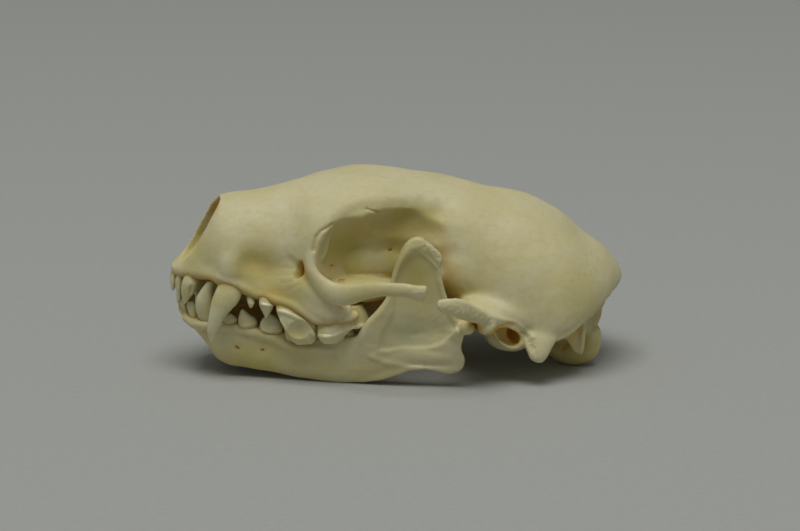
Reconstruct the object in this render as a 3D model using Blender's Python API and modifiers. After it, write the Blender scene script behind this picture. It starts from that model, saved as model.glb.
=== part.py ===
"""Striped skunk skull with its lower jaws, closed and resting on a table.

The skull faces -X, its own left side is -Y and +Z is up. It rests on the lower
edge of both jaws and on the two occipital condyles. Sizes below are millimetres,
turned into metres where each mesh is made.
"""

import math

import bmesh
import bpy
import numpy as np
from mathutils import Matrix, Vector

MM = 0.001
SIDES = {"left": -1, "right": 1}

# Overall sizes of the skull as it lies
SKULL_FRONT = -37.9
SKULL_BACK = 37.4
JOINT_GAP = 0.5
SKIN = 0.25
FLOOR_FLAT = 0.12

# Fineness of the solids
VAULT_RINGS = 56
VAULT_SIDES = 48
BLEND_VOXEL = 0.45
FINE_VOXEL = 0.32
BLEND_SMOOTHING = 10
RIM_SMOOTHING = 6
FINE_SMOOTHING = 3
EDGE_SMOOTHING = 2
CRANIUM_TRIANGLES = 7600
JAW_TRIANGLES = 2300

# Cranium, seen from the side and from above: height or half width along X
TOP = [(-38.0, 16.7), (-37.4, 17.9), (-36.4, 19.2), (-35.3, 21.0), (-34.0, 23.3), (-32.8, 25.9),
       (-31.9, 27.6), (-30.8, 28.7), (-29.2, 29.1), (-22.7, 29.9), (-16.4, 31.2), (-11.3, 32.3),
       (-6.3, 32.85), (0.4, 32.4), (7.0, 31.4), (13.7, 29.6), (22.0, 26.9), (26.3, 24.7),
       (30.5, 21.3), (34.4, 18.2), (35.7, 17.0), (36.8, 15.6), (37.4, 14.4)]
BOTTOM = [(-38.0, 15.7), (-34.0, 15.9), (-30.0, 15.7), (-25.0, 15.0), (-20.0, 14.2), (-14.0, 12.8),
          (-9.5, 12.0), (-5.0, 11.6), (-1.0, 10.9), (4.0, 9.9), (10.0, 8.4), (16.0, 6.6),
          (22.0, 4.8), (26.0, 3.4), (29.0, 2.9), (31.5, 3.6), (33.2, 5.2), (34.2, 7.4), (35.1, 10.0),
          (36.2, 12.2), (37.4, 13.8)]
HALF_WIDTH = [(-38.0, 0.6), (-37.4, 2.6), (-36.0, 4.4), (-34.0, 5.7), (-32.0, 7.2), (-30.0, 8.9),
              (-28.0, 9.5), (-25.0, 9.4), (-22.0, 10.0), (-18.5, 11.3), (-16.0, 12.7), (-13.0, 12.8),
              (-9.0, 11.6), (-5.0, 11.3), (-1.0, 10.6), (3.0, 10.1), (6.0, 10.7), (10.0, 12.6),
              (14.0, 14.4), (18.0, 15.5), (22.0, 15.9), (25.5, 15.5), (28.5, 14.1), (31.0, 12.2),
              (33.5, 9.4), (35.2, 6.8), (36.4, 4.2), (37.1, 2.2), (37.4, 0.6)]
WIDEST_AT = [(-38.0, 16.4), (-34.0, 17.8), (-26.0, 18.3), (-22.0, 19.0), (-18.0, 20.5), (-14.0, 23.0),
             (-9.0, 26.5), (-5.0, 27.2), (-1.0, 26.5), (3.0, 24.5), (6.0, 21.5), (10.0, 18.0),
             (14.0, 15.5), (18.0, 13.8), (22.0, 12.5), (26.0, 11.2), (30.0, 11.2), (33.5, 11.9),
             (36.6, 13.4), (37.7, 14.0)]
SQUARENESS_ABOVE = [(-38.0, 2.0), (-20.0, 2.0), (-12.0, 2.3), (-6.0, 2.5), (2.0, 2.4), (12.0, 2.1),
                    (37.7, 2.0)]
SQUARENESS_BELOW = [(-38.0, 2.6), (-30.0, 3.2), (-18.0, 3.0), (-13.0, 2.4), (-8.0, 1.6), (-3.0, 1.45),
                    (4.0, 1.7), (12.0, 2.5), (22.0, 2.5), (27.5, 1.5), (37.7, 1.5)]
CREST_HEIGHT = [(-20.0, 0.0), (4.0, 0.0), (14.0, 0.3), (26.0, 0.6), (35.0, 0.5), (37.7, 0.0)]
CREST_HALF_WIDTH = 1.1

# Openings and hollows of the cranium, as centre and radii on the right side
EYE_SOCKET = ((-8.3, 18.9, 21.0), (7.7, 11.0, 8.8))
TEMPORAL_HOLLOW = ((-1.5, 21.6, 20.6), (12.5, 13.0, 9.6))
NASAL_OPENING = ((-31.6, 0.0, 23.2), (9.0, 4.8, 4.6))
NASAL_TILT = math.radians(-12)
INFRAORBITAL_CANAL = ((-16.6, 12.3, 18.2), (3.0, 0.95, 1.9))
CANINE_NOTCH = ((-32.6, 7.6, 16.3), (1.8, 2.8, 2.5))
EAR_OPENING = ((16.7, 17.0, 8.5), (1.15, 4.5, 1.6))
FORAMEN_MAGNUM = ((31.3, 0.0, 4.2), (7.5, 4.3, 3.0))
FORAMEN_TILT = math.radians(50)
CHOANA = ((-1.5, 0.0, 9.2), (9.5, 3.0, 4.2))

# Jaw joint, shared by the condyle and its socket
JAW_CONDYLE = ((8.0, 16.9, 11.0), (1.5, 4.0, 1.5))

# Lower jaw
BODY_TOP = [(-36.8, 10.9), (-36.0, 10.4), (-34.5, 9.6), (-31.0, 9.3), (-26.0, 8.9), (-22.0, 8.0),
            (-18.0, 6.9), (-14.0, 6.5), (-9.0, 7.0), (-4.0, 8.5)]
BODY_BOTTOM = [(-36.8, 10.3), (-36.0, 9.1), (-34.5, 7.3), (-33.0, 5.5), (-31.3, 3.0), (-29.5, 1.85),
               (-26.0, 1.45), (-22.0, 1.1), (-18.0, 0.45), (-14.0, 0.1), (-10.0, 0.0), (-7.0, 0.3),
               (-4.0, 0.9)]
BODY_OUTER = [(-36.8, 1.7), (-36.0, 3.0), (-34.5, 4.5), (-33.0, 5.7), (-31.0, 6.9), (-29.0, 7.6),
              (-26.0, 8.4), (-22.0, 9.7), (-18.0, 11.0), (-14.0, 12.3), (-10.0, 13.5), (-4.0, 15.2)]
BODY_INNER = [(-36.8, 0.2), (-30.0, 0.2), (-28.0, 1.4), (-26.0, 3.2), (-22.0, 5.4), (-18.0, 7.3),
              (-14.0, 8.8), (-10.0, 10.2), (-4.0, 12.8)]
BODY_RINGS = 44
BODY_SIDES = 20
BODY_ROUNDING = 0.8
RAMUS_OUTLINE = [(-9.5, 5.0), (-6.2, 10.4), (-3.8, 14.2), (-2.6, 18.8), (-1.5, 22.2), (-0.5, 23.9),
                 (1.2, 24.8), (2.9, 23.8), (4.8, 22.0), (4.9, 20.0), (5.3, 18.2), (5.9, 15.4),
                 (6.6, 12.8), (8.0, 10.2), (8.0, 6.8), (8.6, 4.6), (7.4, 3.0), (4.5, 3.1), (0.6, 3.0),
                 (-2.0, 1.7), (-5.5, 0.6), (-9.5, 1.0)]
RAMUS_CENTRE = [(-10.0, 12.0), (-7.0, 13.1), (-3.0, 14.4), (2.0, 15.6), (9.0, 16.8)]
RAMUS_HALF_THICKNESS = 1.0
RAMUS_EDGE = 0.35
MASSETERIC_FOSSA = ((2.2, 18.9, 10.6), (6.5, 2.4, 6.2))

TOOTH_SIDES = 8
OVAL_REACH = 1 / math.cos(math.pi / TOOTH_SIDES)

# Teeth of one side as levels: height, front, back, distance from the middle, half width
UPPER_TEETH = {
    "I1": [(18.0, -37.2, -36.4, 0.85, 0.5), (16.0, -38.1, -37.1, 0.9, 0.7),
           (14.8, -38.2, -37.3, 0.9, 0.75), (13.4, -38.0, -37.5, 0.9, 0.55)],
    "I2": [(18.0, -36.7, -35.7, 2.4, 0.6), (16.0, -37.4, -36.2, 2.45, 0.75),
           (14.3, -37.5, -36.3, 2.45, 0.75), (11.9, -37.1, -36.5, 2.4, 0.45)],
    "I3": [(18.5, -35.6, -34.0, 4.1, 0.7), (16.4, -36.3, -33.9, 4.3, 0.95),
           (14.3, -36.6, -34.4, 4.2, 0.95), (12.9, -36.4, -35.2, 4.1, 0.6), (12.0, -36.2, -35.8, 4.0, 0.35)],
    "C": [(18.5, -29.9, -26.6, 8.2, 1.2), (16.0, -31.0, -26.9, 8.9, 1.5), (13.6, -31.8, -27.6, 9.2, 1.45),
          (12.4, -32.1, -28.8, 9.3, 1.3), (9.7, -32.6, -30.4, 9.3, 0.9), (8.0, -32.6, -31.1, 9.2, 0.6),
          (6.9, -32.2, -31.8, 9.1, 0.25)],
    "P2": [(15.5, -26.3, -24.9, 9.0, 0.6), (13.6, -26.6, -24.7, 9.4, 0.8), (12.3, -25.7, -25.2, 9.4, 0.35)],
    "P3": [(15.4, -23.9, -22.2, 10.0, 0.7), (13.5, -24.2, -21.8, 10.5, 0.95),
           (12.7, -24.0, -22.0, 10.6, 0.85), (11.1, -23.2, -22.8, 10.6, 0.3)],
    "P4": [(14.6, -21.0, -15.8, 11.2, 1.0), (12.7, -21.7, -15.2, 11.8, 1.2), (10.4, -20.9, -14.8, 12.4, 1.3),
           (8.4, -19.8, -15.0, 12.7, 1.05), (7.0, -18.4, -15.4, 12.8, 0.55)],
    "P4 inner cusp": [(14.4, -21.0, -18.6, 9.6, 1.2), (12.4, -20.9, -18.4, 9.3, 1.3),
                      (10.8, -20.3, -19.0, 9.2, 0.8)],
    "M1 front cusp": [(11.5, -14.7, -11.6, 13.0, 1.2), (9.2, -14.7, -11.9, 13.5, 1.3),
                      (7.2, -13.8, -12.8, 13.7, 0.7)],
    "M1 back cusp": [(11.5, -12.4, -9.9, 12.8, 1.2), (9.2, -12.4, -9.9, 13.2, 1.3),
                     (7.4, -11.6, -10.8, 13.4, 0.7)],
    "M1 inner lobe": [(13.0, -14.0, -7.9, 10.8, 2.4), (11.2, -14.2, -7.0, 10.7, 2.7),
                      (9.9, -14.0, -6.9, 10.6, 2.6), (9.2, -13.2, -7.6, 10.6, 2.0)],
}
LOWER_TEETH = {
    "i1": [(9.5, -36.4, -35.6, 0.8, 0.4), (11.0, -36.8, -36.0, 0.85, 0.45), (12.6, -36.9, -36.4, 0.85, 0.35)],
    "i2": [(9.0, -35.8, -34.9, 2.0, 0.45), (10.8, -36.3, -35.4, 2.1, 0.5), (12.6, -36.2, -35.6, 2.1, 0.35)],
    "i3": [(8.3, -34.6, -33.6, 3.5, 0.5), (10.4, -35.4, -34.2, 3.4, 0.6), (12.3, -35.6, -34.9, 3.3, 0.35)],
    "c": [(7.3, -33.3, -31.0, 5.2, 1.0), (9.4, -33.7, -31.0, 5.6, 1.25), (11.4, -34.4, -31.3, 5.9, 1.3),
          (13.2, -34.4, -31.5, 6.2, 1.15), (15.2, -33.6, -31.5, 6.6, 0.75), (16.4, -32.1, -31.6, 6.9, 0.3)],
    "p2": [(8.3, -29.4, -27.9, 6.2, 0.6), (9.6, -29.5, -27.8, 6.7, 0.8), (10.6, -28.6, -28.2, 6.8, 0.3)],
    "p3": [(7.6, -27.0, -24.9, 7.1, 0.7), (9.2, -27.5, -24.5, 7.6, 0.95), (11.5, -26.5, -26.0, 7.7, 0.3)],
    "p4": [(6.8, -23.5, -20.9, 8.3, 0.8), (8.8, -24.0, -20.5, 8.8, 1.05), (11.1, -22.4, -21.9, 8.8, 0.3)],
    "m1 front": [(5.8, -20.0, -16.4, 9.4, 1.0), (8.2, -20.2, -16.0, 9.8, 1.15), (10.0, -19.2, -17.6, 9.9, 0.5)],
    "m1 blade": [(5.8, -17.2, -14.2, 9.8, 1.0), (8.2, -17.4, -14.0, 10.1, 1.15),
                 (10.3, -16.2, -15.4, 10.1, 0.5)],
    "m1 heel": [(5.6, -14.6, -11.2, 10.2, 1.1), (7.8, -14.8, -11.0, 10.5, 1.3), (8.6, -14.0, -11.6, 10.5, 0.9)],
    "m2": [(6.0, -10.8, -8.8, 11.0, 0.9), (7.7, -11.0, -8.6, 11.2, 1.0), (8.5, -10.4, -9.2, 11.2, 0.5)],
}

BONE = ("bone", (0.80, 0.72, 0.50, 1.0), 0.45)


def clear_scene():
    for thing in list(bpy.data.objects):
        bpy.data.objects.remove(thing)


def new_collection(name, hidden=False):
    made = bpy.data.collections.new(name)
    bpy.context.scene.collection.children.link(made)
    made.hide_render = hidden
    return made


def material(name, colour, roughness):
    made = bpy.data.materials.new(name)
    made.use_nodes = True
    shader = made.node_tree.nodes["Principled BSDF"]
    shader.inputs["Base Color"].default_value = colour
    shader.inputs["Roughness"].default_value = roughness
    shader.inputs["Metallic"].default_value = 0.0
    return made


def curve_through(knots):
    """A smooth function of one number that passes through (place, value) knots."""
    xs = np.array([k[0] for k in knots], float)
    ys = np.array([k[1] for k in knots], float)
    slopes = np.gradient(ys, xs)
    level = np.diff(ys) == 0
    slopes[:-1][level] = 0.0
    slopes[1:][level] = 0.0

    def value(x):
        x = min(max(x, xs[0]), xs[-1])
        i = min(int(np.searchsorted(xs, x, side="right")) - 1, len(xs) - 2)
        step = xs[i + 1] - xs[i]
        t = (x - xs[i]) / step
        return float(
            ys[i] * (1 + 2 * t) * (1 - t) ** 2
            + ys[i + 1] * t * t * (3 - 2 * t)
            + slopes[i] * step * t * (1 - t) ** 2
            - slopes[i + 1] * step * t * t * (1 - t)
        )

    return value


def points_along(points, count):
    """The same number of smooth steps along a path of 3-D or longer rows."""
    rows = np.array(points, float)
    lengths = np.linalg.norm(np.diff(rows[:, :3], axis=0), axis=1)
    places = np.concatenate([[0.0], np.cumsum(lengths)])
    columns = [curve_through(list(zip(places, rows[:, c]))) for c in range(rows.shape[1])]
    return [[column(p) for column in columns] for p in np.linspace(0.0, places[-1], count)]


def mesh_object(name, bm, home):
    """Closes a bmesh into an object, in metres, with its faces pointing out."""
    bmesh.ops.recalc_face_normals(bm, faces=bm.faces)
    bmesh.ops.scale(bm, vec=(MM, MM, MM), verts=bm.verts)
    data = bpy.data.meshes.new(name)
    bm.to_mesh(data)
    bm.free()
    made = bpy.data.objects.new(name, data)
    home.objects.link(made)
    return made


def loft(name, rings, home):
    """A closed skin over rings of the same number of points, each end closed by a fan."""
    bm = bmesh.new()
    rows = [[bm.verts.new(p) for p in ring] for ring in rings]
    sides = len(rows[0])
    for low, high in zip(rows, rows[1:]):
        for k in range(sides):
            bm.faces.new((low[k], low[(k + 1) % sides], high[(k + 1) % sides], high[k]))
    for row in (rows[0], rows[-1]):
        centre = bm.verts.new(sum((v.co for v in row), Vector()) / sides)
        for k in range(sides):
            bm.faces.new((row[k], row[(k + 1) % sides], centre))
    return mesh_object(name, bm, home)


def bar(name, rows, home, across=(0, 0, 1), steps=16, sides=12, end=0.45):
    """A rounded bar along rows of (x, y, z, half size towards across, half size sideways)."""
    path = points_along(rows, steps)
    centres = [Vector(p[:3]) for p in path]
    rings = []
    for i, p in enumerate(path):
        ahead = (centres[min(i + 1, steps - 1)] - centres[max(i - 1, 0)]).normalized()
        towards = Vector(across)
        towards = (towards - towards.dot(ahead) * ahead).normalized()
        sideways = ahead.cross(towards)
        shrink = end if i in (0, steps - 1) else 1.0
        ring = []
        for k in range(sides):
            turn = 2 * math.pi * k / sides
            offset = towards * (p[3] * math.cos(turn)) + sideways * (p[4] * math.sin(turn))
            ring.append(centres[i] + offset * shrink)
        rings.append(ring)
    return loft(name, rings, home)


def ellipsoid(name, centre, radii, home, side=1, turn=None, segments=24):
    """A ball stretched to three radii; side -1 puts it on the skull's left."""
    bm = bmesh.new()
    bmesh.ops.create_uvsphere(bm, u_segments=segments, v_segments=segments * 2 // 3, radius=1.0)
    place = Vector((centre[0], centre[1] * side, centre[2]))
    spin = turn if turn is not None else Matrix.Identity(4)
    shape = Matrix.Translation(place) @ spin @ Matrix.Diagonal((*radii, 1.0))
    bmesh.ops.transform(bm, matrix=shape, verts=bm.verts)
    return mesh_object(name, bm, home)


def sided(rows, side):
    """Rows of a path with Y turned to the given side."""
    return [(row[0], row[1] * side, *row[2:]) for row in rows]


def settle(thing):
    """Replaces the object's mesh by what its modifiers make of it."""
    graph = bpy.context.evaluated_depsgraph_get()
    made = bpy.data.meshes.new_from_object(thing.evaluated_get(graph))
    thing.modifiers.clear()
    thing.data = made
    return thing


def joined(name, pieces, home):
    """Several meshes as one object; the pieces are used up."""
    bm = bmesh.new()
    for piece in pieces:
        bm.from_mesh(piece.data)
        bpy.data.objects.remove(piece)
    data = bpy.data.meshes.new(name)
    bm.to_mesh(data)
    bm.free()
    made = bpy.data.objects.new(name, data)
    home.objects.link(made)
    return made


def blended(name, pieces, home, voxel, smoothing):
    """Pieces grown together into one skin, with the joints between them rounded."""
    made = joined(name, pieces, home)
    remesh = made.modifiers.new("grow together", "REMESH")
    remesh.mode = "VOXEL"
    remesh.voxel_size = voxel * MM
    smooth = made.modifiers.new("round", "SMOOTH")
    smooth.factor = 0.5
    smooth.iterations = smoothing
    return settle(made)


def cut_by(thing, cutters, home):
    """Takes the cutters' shapes out of the object."""
    for cutter in cutters:
        cutter.hide_render = True
        cutter.display_type = "WIRE"
    tool = bpy.data.collections.new("cutters of " + thing.name)
    home.children.link(tool)
    for cutter in cutters:
        tool.objects.link(cutter)
    cut = thing.modifiers.new("cut", "BOOLEAN")
    cut.operation = "DIFFERENCE"
    cut.operand_type = "COLLECTION"
    cut.collection = tool
    cut.solver = "EXACT"
    settle(thing)
    for cutter in cutters:
        bpy.data.objects.remove(cutter)
    bpy.data.collections.remove(tool)
    return thing


def vault_rings():
    """Cross-sections of the cranium from the incisors to the back of the nuchal crest."""
    top, bottom = curve_through(TOP), curve_through(BOTTOM)
    half, widest = curve_through(HALF_WIDTH), curve_through(WIDEST_AT)
    above, below = curve_through(SQUARENESS_ABOVE), curve_through(SQUARENESS_BELOW)
    crest = curve_through(CREST_HEIGHT)
    middle, reach = (SKULL_FRONT + SKULL_BACK) / 2, (SKULL_BACK - SKULL_FRONT) / 2
    rings = []
    for i in range(VAULT_RINGS):
        x = middle - reach * math.cos(math.pi * i / (VAULT_RINGS - 1))
        ring = []
        for k in range(VAULT_SIDES):
            turn = 2 * math.pi * k / VAULT_SIDES
            out, up = math.cos(turn), math.sin(turn)
            power = 2.0 / (above(x) if up >= 0 else below(x))
            y = (half(x) + SKIN) * math.copysign(abs(out) ** power, out)
            height = (top(x) + SKIN if up >= 0 else bottom(x)) - widest(x)
            z = widest(x) + height * abs(up) ** power
            if up > 0:
                z += crest(x) * math.exp(-((y / CREST_HALF_WIDTH) ** 2))
            ring.append((x, y, z))
        rings.append(ring)
    return rings


def tooth_row_bar(home):
    """The bone that holds the upper teeth, a U from one last molar round to the other."""
    half = [(-9.0, 12.4, 12.3, 1.9, 1.7), (-12.5, 12.9, 12.0, 2.3, 2.1), (-16.0, 12.2, 12.7, 2.4, 1.8),
            (-19.5, 10.9, 13.9, 2.0, 1.6), (-23.0, 9.4, 15.0, 1.6, 1.5), (-26.5, 8.5, 15.7, 1.3, 1.5),
            (-29.5, 8.1, 16.7, 1.5, 1.7), (-32.5, 6.2, 17.5, 1.3, 1.3), (-35.0, 4.2, 17.4, 1.1, 1.2),
            (-36.8, 2.2, 17.2, 1.1, 1.1)]
    front = [(-37.3, 0.0, 17.1, 1.1, 1.1)]
    rows = sided(half, 1) + front + sided(half[::-1], -1)
    return bar("tooth row", rows, home, steps=48)


def side_masses(side, home):
    """The broad forms of one side: squamosal root, mastoid, bulla and cheek."""
    squamosal = [(9.0, 20.4, 13.8, 1.6, 1.3), (11.5, 18.3, 12.5, 1.8, 2.1), (14.2, 15.8, 11.4, 2.0, 2.6),
                 (17.5, 14.0, 11.0, 1.6, 2.0)]
    ridge = [(12.5, 17.2, 12.0, 1.0, 1.2), (16.0, 17.2, 11.0, 0.9, 1.1), (19.5, 17.0, 10.0, 1.3, 1.3),
             (22.5, 16.5, 9.6, 1.6, 1.4)]
    mastoid = [(22.4, 14.6, 11.5, 3.6, 2.8), (21.9, 16.2, 8.6, 2.9, 2.1), (21.1, 17.1, 6.3, 2.1, 1.5),
               (20.3, 17.6, 3.8, 1.3, 1.1)]
    return [
        bar("squamosal process", sided(squamosal, side), home),
        bar("ridge over the ear", sided(ridge, side), home),
        bar("mastoid process", sided(mastoid, side), home, across=(1, 0, 0)),
        ellipsoid("roof of the jaw joint", (10.7, 15.4, 13.1), (3.6, 5.2, 2.0), home, side),
        ellipsoid("bulla", (17.0, 11.2, 8.2), (4.9, 4.2, 3.9), home, side),
        ellipsoid("cheek", (-13.2, 12.6, 14.6), (4.2, 2.6, 2.6), home, side),
        ellipsoid("rim of the ear", (16.4, 15.2, 8.5), (2.2, 2.6, 2.3), home, side),
    ]


def side_bars(side, home):
    """The slender forms of one side, added after the orbit is cut."""
    jugal = [(-15.6, 11.0, 24.6, 0.8, 0.9), (-15.9, 12.1, 22.0, 0.9, 1.1), (-15.7, 12.8, 19.4, 1.0, 1.3),
             (-14.4, 13.5, 17.0, 1.2, 1.9), (-12.0, 14.9, 15.5, 1.3, 2.0), (-9.8, 17.0, 15.6, 1.0, 1.6),
             (-7.2, 19.0, 16.6, 0.8, 1.2), (-4.2, 20.5, 17.7, 0.75, 1.0), (-1.5, 21.4, 18.0, 0.75, 0.9),
             (1.3, 22.0, 17.5, 0.8, 1.0)]
    squamosal = [(3.9, 22.0, 15.6, 0.9, 0.75), (5.4, 22.0, 15.5, 1.35, 0.85), (7.2, 21.6, 14.8, 1.8, 1.1),
                 (9.2, 20.2, 13.6, 1.6, 1.4), (11.8, 18.0, 12.2, 1.4, 1.6)]
    nuchal = [(36.6, 0.0, 14.3, 0.6, 0.7), (35.9, 4.2, 13.7, 0.8, 0.7), (34.0, 8.0, 12.8, 1.0, 0.7),
              (31.6, 11.7, 11.9, 1.1, 0.7), (29.0, 14.4, 11.1, 1.2, 0.8), (26.6, 16.4, 9.6, 1.2, 0.9),
              (24.2, 17.2, 8.0, 1.2, 1.1), (22.3, 17.3, 6.6, 1.2, 1.2)]
    paroccipital = [(28.0, 10.6, 8.8, 1.3, 1.1), (28.4, 11.2, 6.4, 1.1, 0.7), (29.0, 11.4, 3.6, 0.5, 0.5)]
    condyle = [(30.9, 7.1, 7.0, 1.8, 1.8), (31.1, 6.8, 4.6, 1.9, 1.9), (30.5, 6.2, 2.8, 2.1, 2.1),
               (28.7, 5.4, 2.1, 2.2, 2.1), (26.4, 4.4, 2.4, 1.9, 1.9), (24.5, 3.6, 3.6, 1.4, 1.4)]
    pterygoid = [(-7.5, 5.2, 12.4, 1.6, 0.7), (-3.0, 4.1, 10.9, 2.0, 0.6), (2.0, 4.0, 9.0, 2.2, 0.6),
                 (6.5, 4.4, 7.4, 1.8, 0.7), (9.5, 5.6, 7.4, 1.2, 0.9)]
    postglenoid = [(11.3, 19.6, 11.2, 1.1, 0.8), (11.6, 16.2, 10.4, 1.6, 0.8), (11.9, 12.6, 9.6, 1.6, 1.2)]
    outward = (0.55, 0.75 * side, -0.35)
    return [
        bar("jugal", sided(jugal, side), home, across=(0.8, -0.6 * side, 0), steps=30),
        bar("squamosal tip", sided(squamosal, side), home, steps=12, end=0.7),
        bar("nuchal crest", sided(nuchal, side), home, across=outward, steps=30, sides=10),
        bar("paroccipital process", sided(paroccipital, side), home, across=(1, 0, 0), steps=8),
        bar("condyle", sided(condyle, side), home, across=(0, 1, 0), steps=18, sides=14, end=0.7),
        bar("pterygoid", sided(pterygoid, side), home, steps=14, sides=10),
        bar("behind the jaw joint", sided(postglenoid, side), home, steps=10),
    ]


def cranium_cutters(home):
    """Eye sockets, nose, ears, canals, the hollow for the spinal cord and the back of the palate."""
    nose_turn = Matrix.Rotation(NASAL_TILT, 4, "Y")
    neck_turn = Matrix.Rotation(FORAMEN_TILT, 4, "Y")
    cutters = [
        ellipsoid("nasal opening", *NASAL_OPENING, home, turn=nose_turn),
        ellipsoid("foramen magnum", *FORAMEN_MAGNUM, home, turn=neck_turn),
    ]
    socket = tuple(r + JOINT_GAP for r in JAW_CONDYLE[1])
    behind_ramus = [(7.4, 16.9, 11.0, 1.8, 2.0), (6.2, 16.6, 14.5, 1.8, 2.0), (5.2, 16.3, 18.0, 1.8, 2.0)]
    for side in SIDES.values():
        cutters += [
            bar("room for the lower jaw", sided(behind_ramus, side), home, across=(1, 0, 0), steps=8),
            ellipsoid("infraorbital canal", *INFRAORBITAL_CANAL, home, side),
            ellipsoid("canine notch", *CANINE_NOTCH, home, side),
            ellipsoid("ear opening", *EAR_OPENING, home, side),
            ellipsoid("jaw socket", JAW_CONDYLE[0], socket, home, side),
        ]
    return cutters


def tooth(name, levels, home, side):
    """A tooth as a stack of ovals, the first one sunk in the bone and the last one its tip."""
    rings = []
    for z, front, back, y, half_width in levels:
        middle, half_length = (front + back) / 2, (back - front) / 2
        ring = []
        for k in range(TOOTH_SIDES):
            turn = 2 * math.pi * (k + 0.5) / TOOTH_SIDES
            x = middle + half_length * OVAL_REACH * math.cos(turn)
            ring.append((x, (y + half_width * OVAL_REACH * math.sin(turn)) * side, z))
        rings.append(ring)
    return loft(name, rings, home)


def teeth(rows, side, home):
    return [tooth(name, levels, home, side) for name, levels in rows.items()]


def thinned(thing, triangles):
    """Fewer triangles, with the form kept."""
    bm = bmesh.new()
    bm.from_mesh(thing.data)
    bmesh.ops.triangulate(bm, faces=bm.faces)
    count = len(bm.faces)
    bm.to_mesh(thing.data)
    bm.free()
    fewer = thing.modifiers.new("thin out", "DECIMATE")
    fewer.ratio = min(1.0, triangles / count)
    return settle(thing)


def largest_body(thing):
    """Keeps the largest closed surface, so that nothing loose or sealed inside is left."""
    bm = bmesh.new()
    bm.from_mesh(thing.data)
    left, bodies = set(bm.verts), []
    while left:
        body, edge = set(), [left.pop()]
        while edge:
            vert = edge.pop()
            body.add(vert)
            for link in vert.link_edges:
                other = link.other_vert(vert)
                if other in left:
                    left.discard(other)
                    edge.append(other)
        bodies.append(body)
    bodies.sort(key=len)
    for body in bodies[:-1]:
        bmesh.ops.delete(bm, geom=list(body), context="VERTS")
    bm.to_mesh(thing.data)
    bm.free()
    return thing


def with_teeth(bone, pieces, home):
    """Fuses the teeth into the bone, their roots sunk in it."""
    tool = bpy.data.collections.new("teeth of " + bone.name)
    home.children.link(tool)
    for piece in pieces:
        tool.objects.link(piece)
    union = bone.modifiers.new("teeth", "BOOLEAN")
    union.operation = "UNION"
    union.operand_type = "COLLECTION"
    union.collection = tool
    union.solver = "EXACT"
    settle(bone)
    for piece in pieces:
        bpy.data.objects.remove(piece)
    bpy.data.collections.remove(tool)
    return largest_body(bone)


def set_down(things):
    """Gives what touches the floor small flats, and puts the origin under the middle of the skull."""
    for thing in things:
        for vertex in thing.data.vertices:
            vertex.co.z = max(vertex.co.z, FLOOR_FLAT * MM)
    points = [vertex.co for thing in things for vertex in thing.data.vertices]
    low = [min(p[axis] for p in points) for axis in range(3)]
    high = [max(p[axis] for p in points) for axis in range(3)]
    shift = Vector((-(low[0] + high[0]) / 2, -(low[1] + high[1]) / 2, -low[2]))
    for thing in things:
        thing.data.transform(Matrix.Translation(shift))


def build_cranium(home, shop):
    vault = loft("vault", vault_rings(), shop)
    masses = [vault, tooth_row_bar(shop)]
    for side in SIDES.values():
        masses += side_masses(side, shop)
    cranium = blended("cranium", masses, shop, BLEND_VOXEL, BLEND_SMOOTHING)
    hollows = [ellipsoid("choana", *CHOANA, shop)]
    for side in SIDES.values():
        hollows.append(ellipsoid("eye socket", *EYE_SOCKET, shop, side, segments=36))
        hollows.append(ellipsoid("temporal hollow", *TEMPORAL_HOLLOW, shop, side, segments=36))
    cut_by(cranium, hollows, shop)
    cranium = blended("cranium", [cranium], shop, BLEND_VOXEL, RIM_SMOOTHING)
    bars = [cranium]
    for side in SIDES.values():
        bars += side_bars(side, shop)
    cranium = blended("cranium", bars, shop, FINE_VOXEL, FINE_SMOOTHING)
    cut_by(cranium, cranium_cutters(shop), shop)
    cranium = blended("cranium", [cranium], home, FINE_VOXEL, EDGE_SMOOTHING)
    thinned(cranium, CRANIUM_TRIANGLES)
    pieces = [t for side in SIDES.values() for t in teeth(UPPER_TEETH, side, shop)]
    return with_teeth(cranium, pieces, shop)


def body_rings(side):
    """Cross-sections of the tooth-bearing part of one lower jaw."""
    top, bottom = curve_through(BODY_TOP), curve_through(BODY_BOTTOM)
    outer, inner = curve_through(BODY_OUTER), curve_through(BODY_INNER)
    rings = []
    for x in np.linspace(BODY_TOP[0][0], BODY_TOP[-1][0], BODY_RINGS):
        y, z = (outer(x) + inner(x)) / 2, (top(x) + bottom(x)) / 2
        wide, tall = (outer(x) - inner(x)) / 2, (top(x) - bottom(x)) / 2
        ring = []
        for k in range(BODY_SIDES):
            turn = 2 * math.pi * k / BODY_SIDES
            out = math.copysign(abs(math.cos(turn)) ** BODY_ROUNDING, math.cos(turn))
            up = math.copysign(abs(math.sin(turn)) ** BODY_ROUNDING, math.sin(turn))
            ring.append((x, (y + wide * out) * side, z + tall * up))
        rings.append(ring)
    return rings


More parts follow.
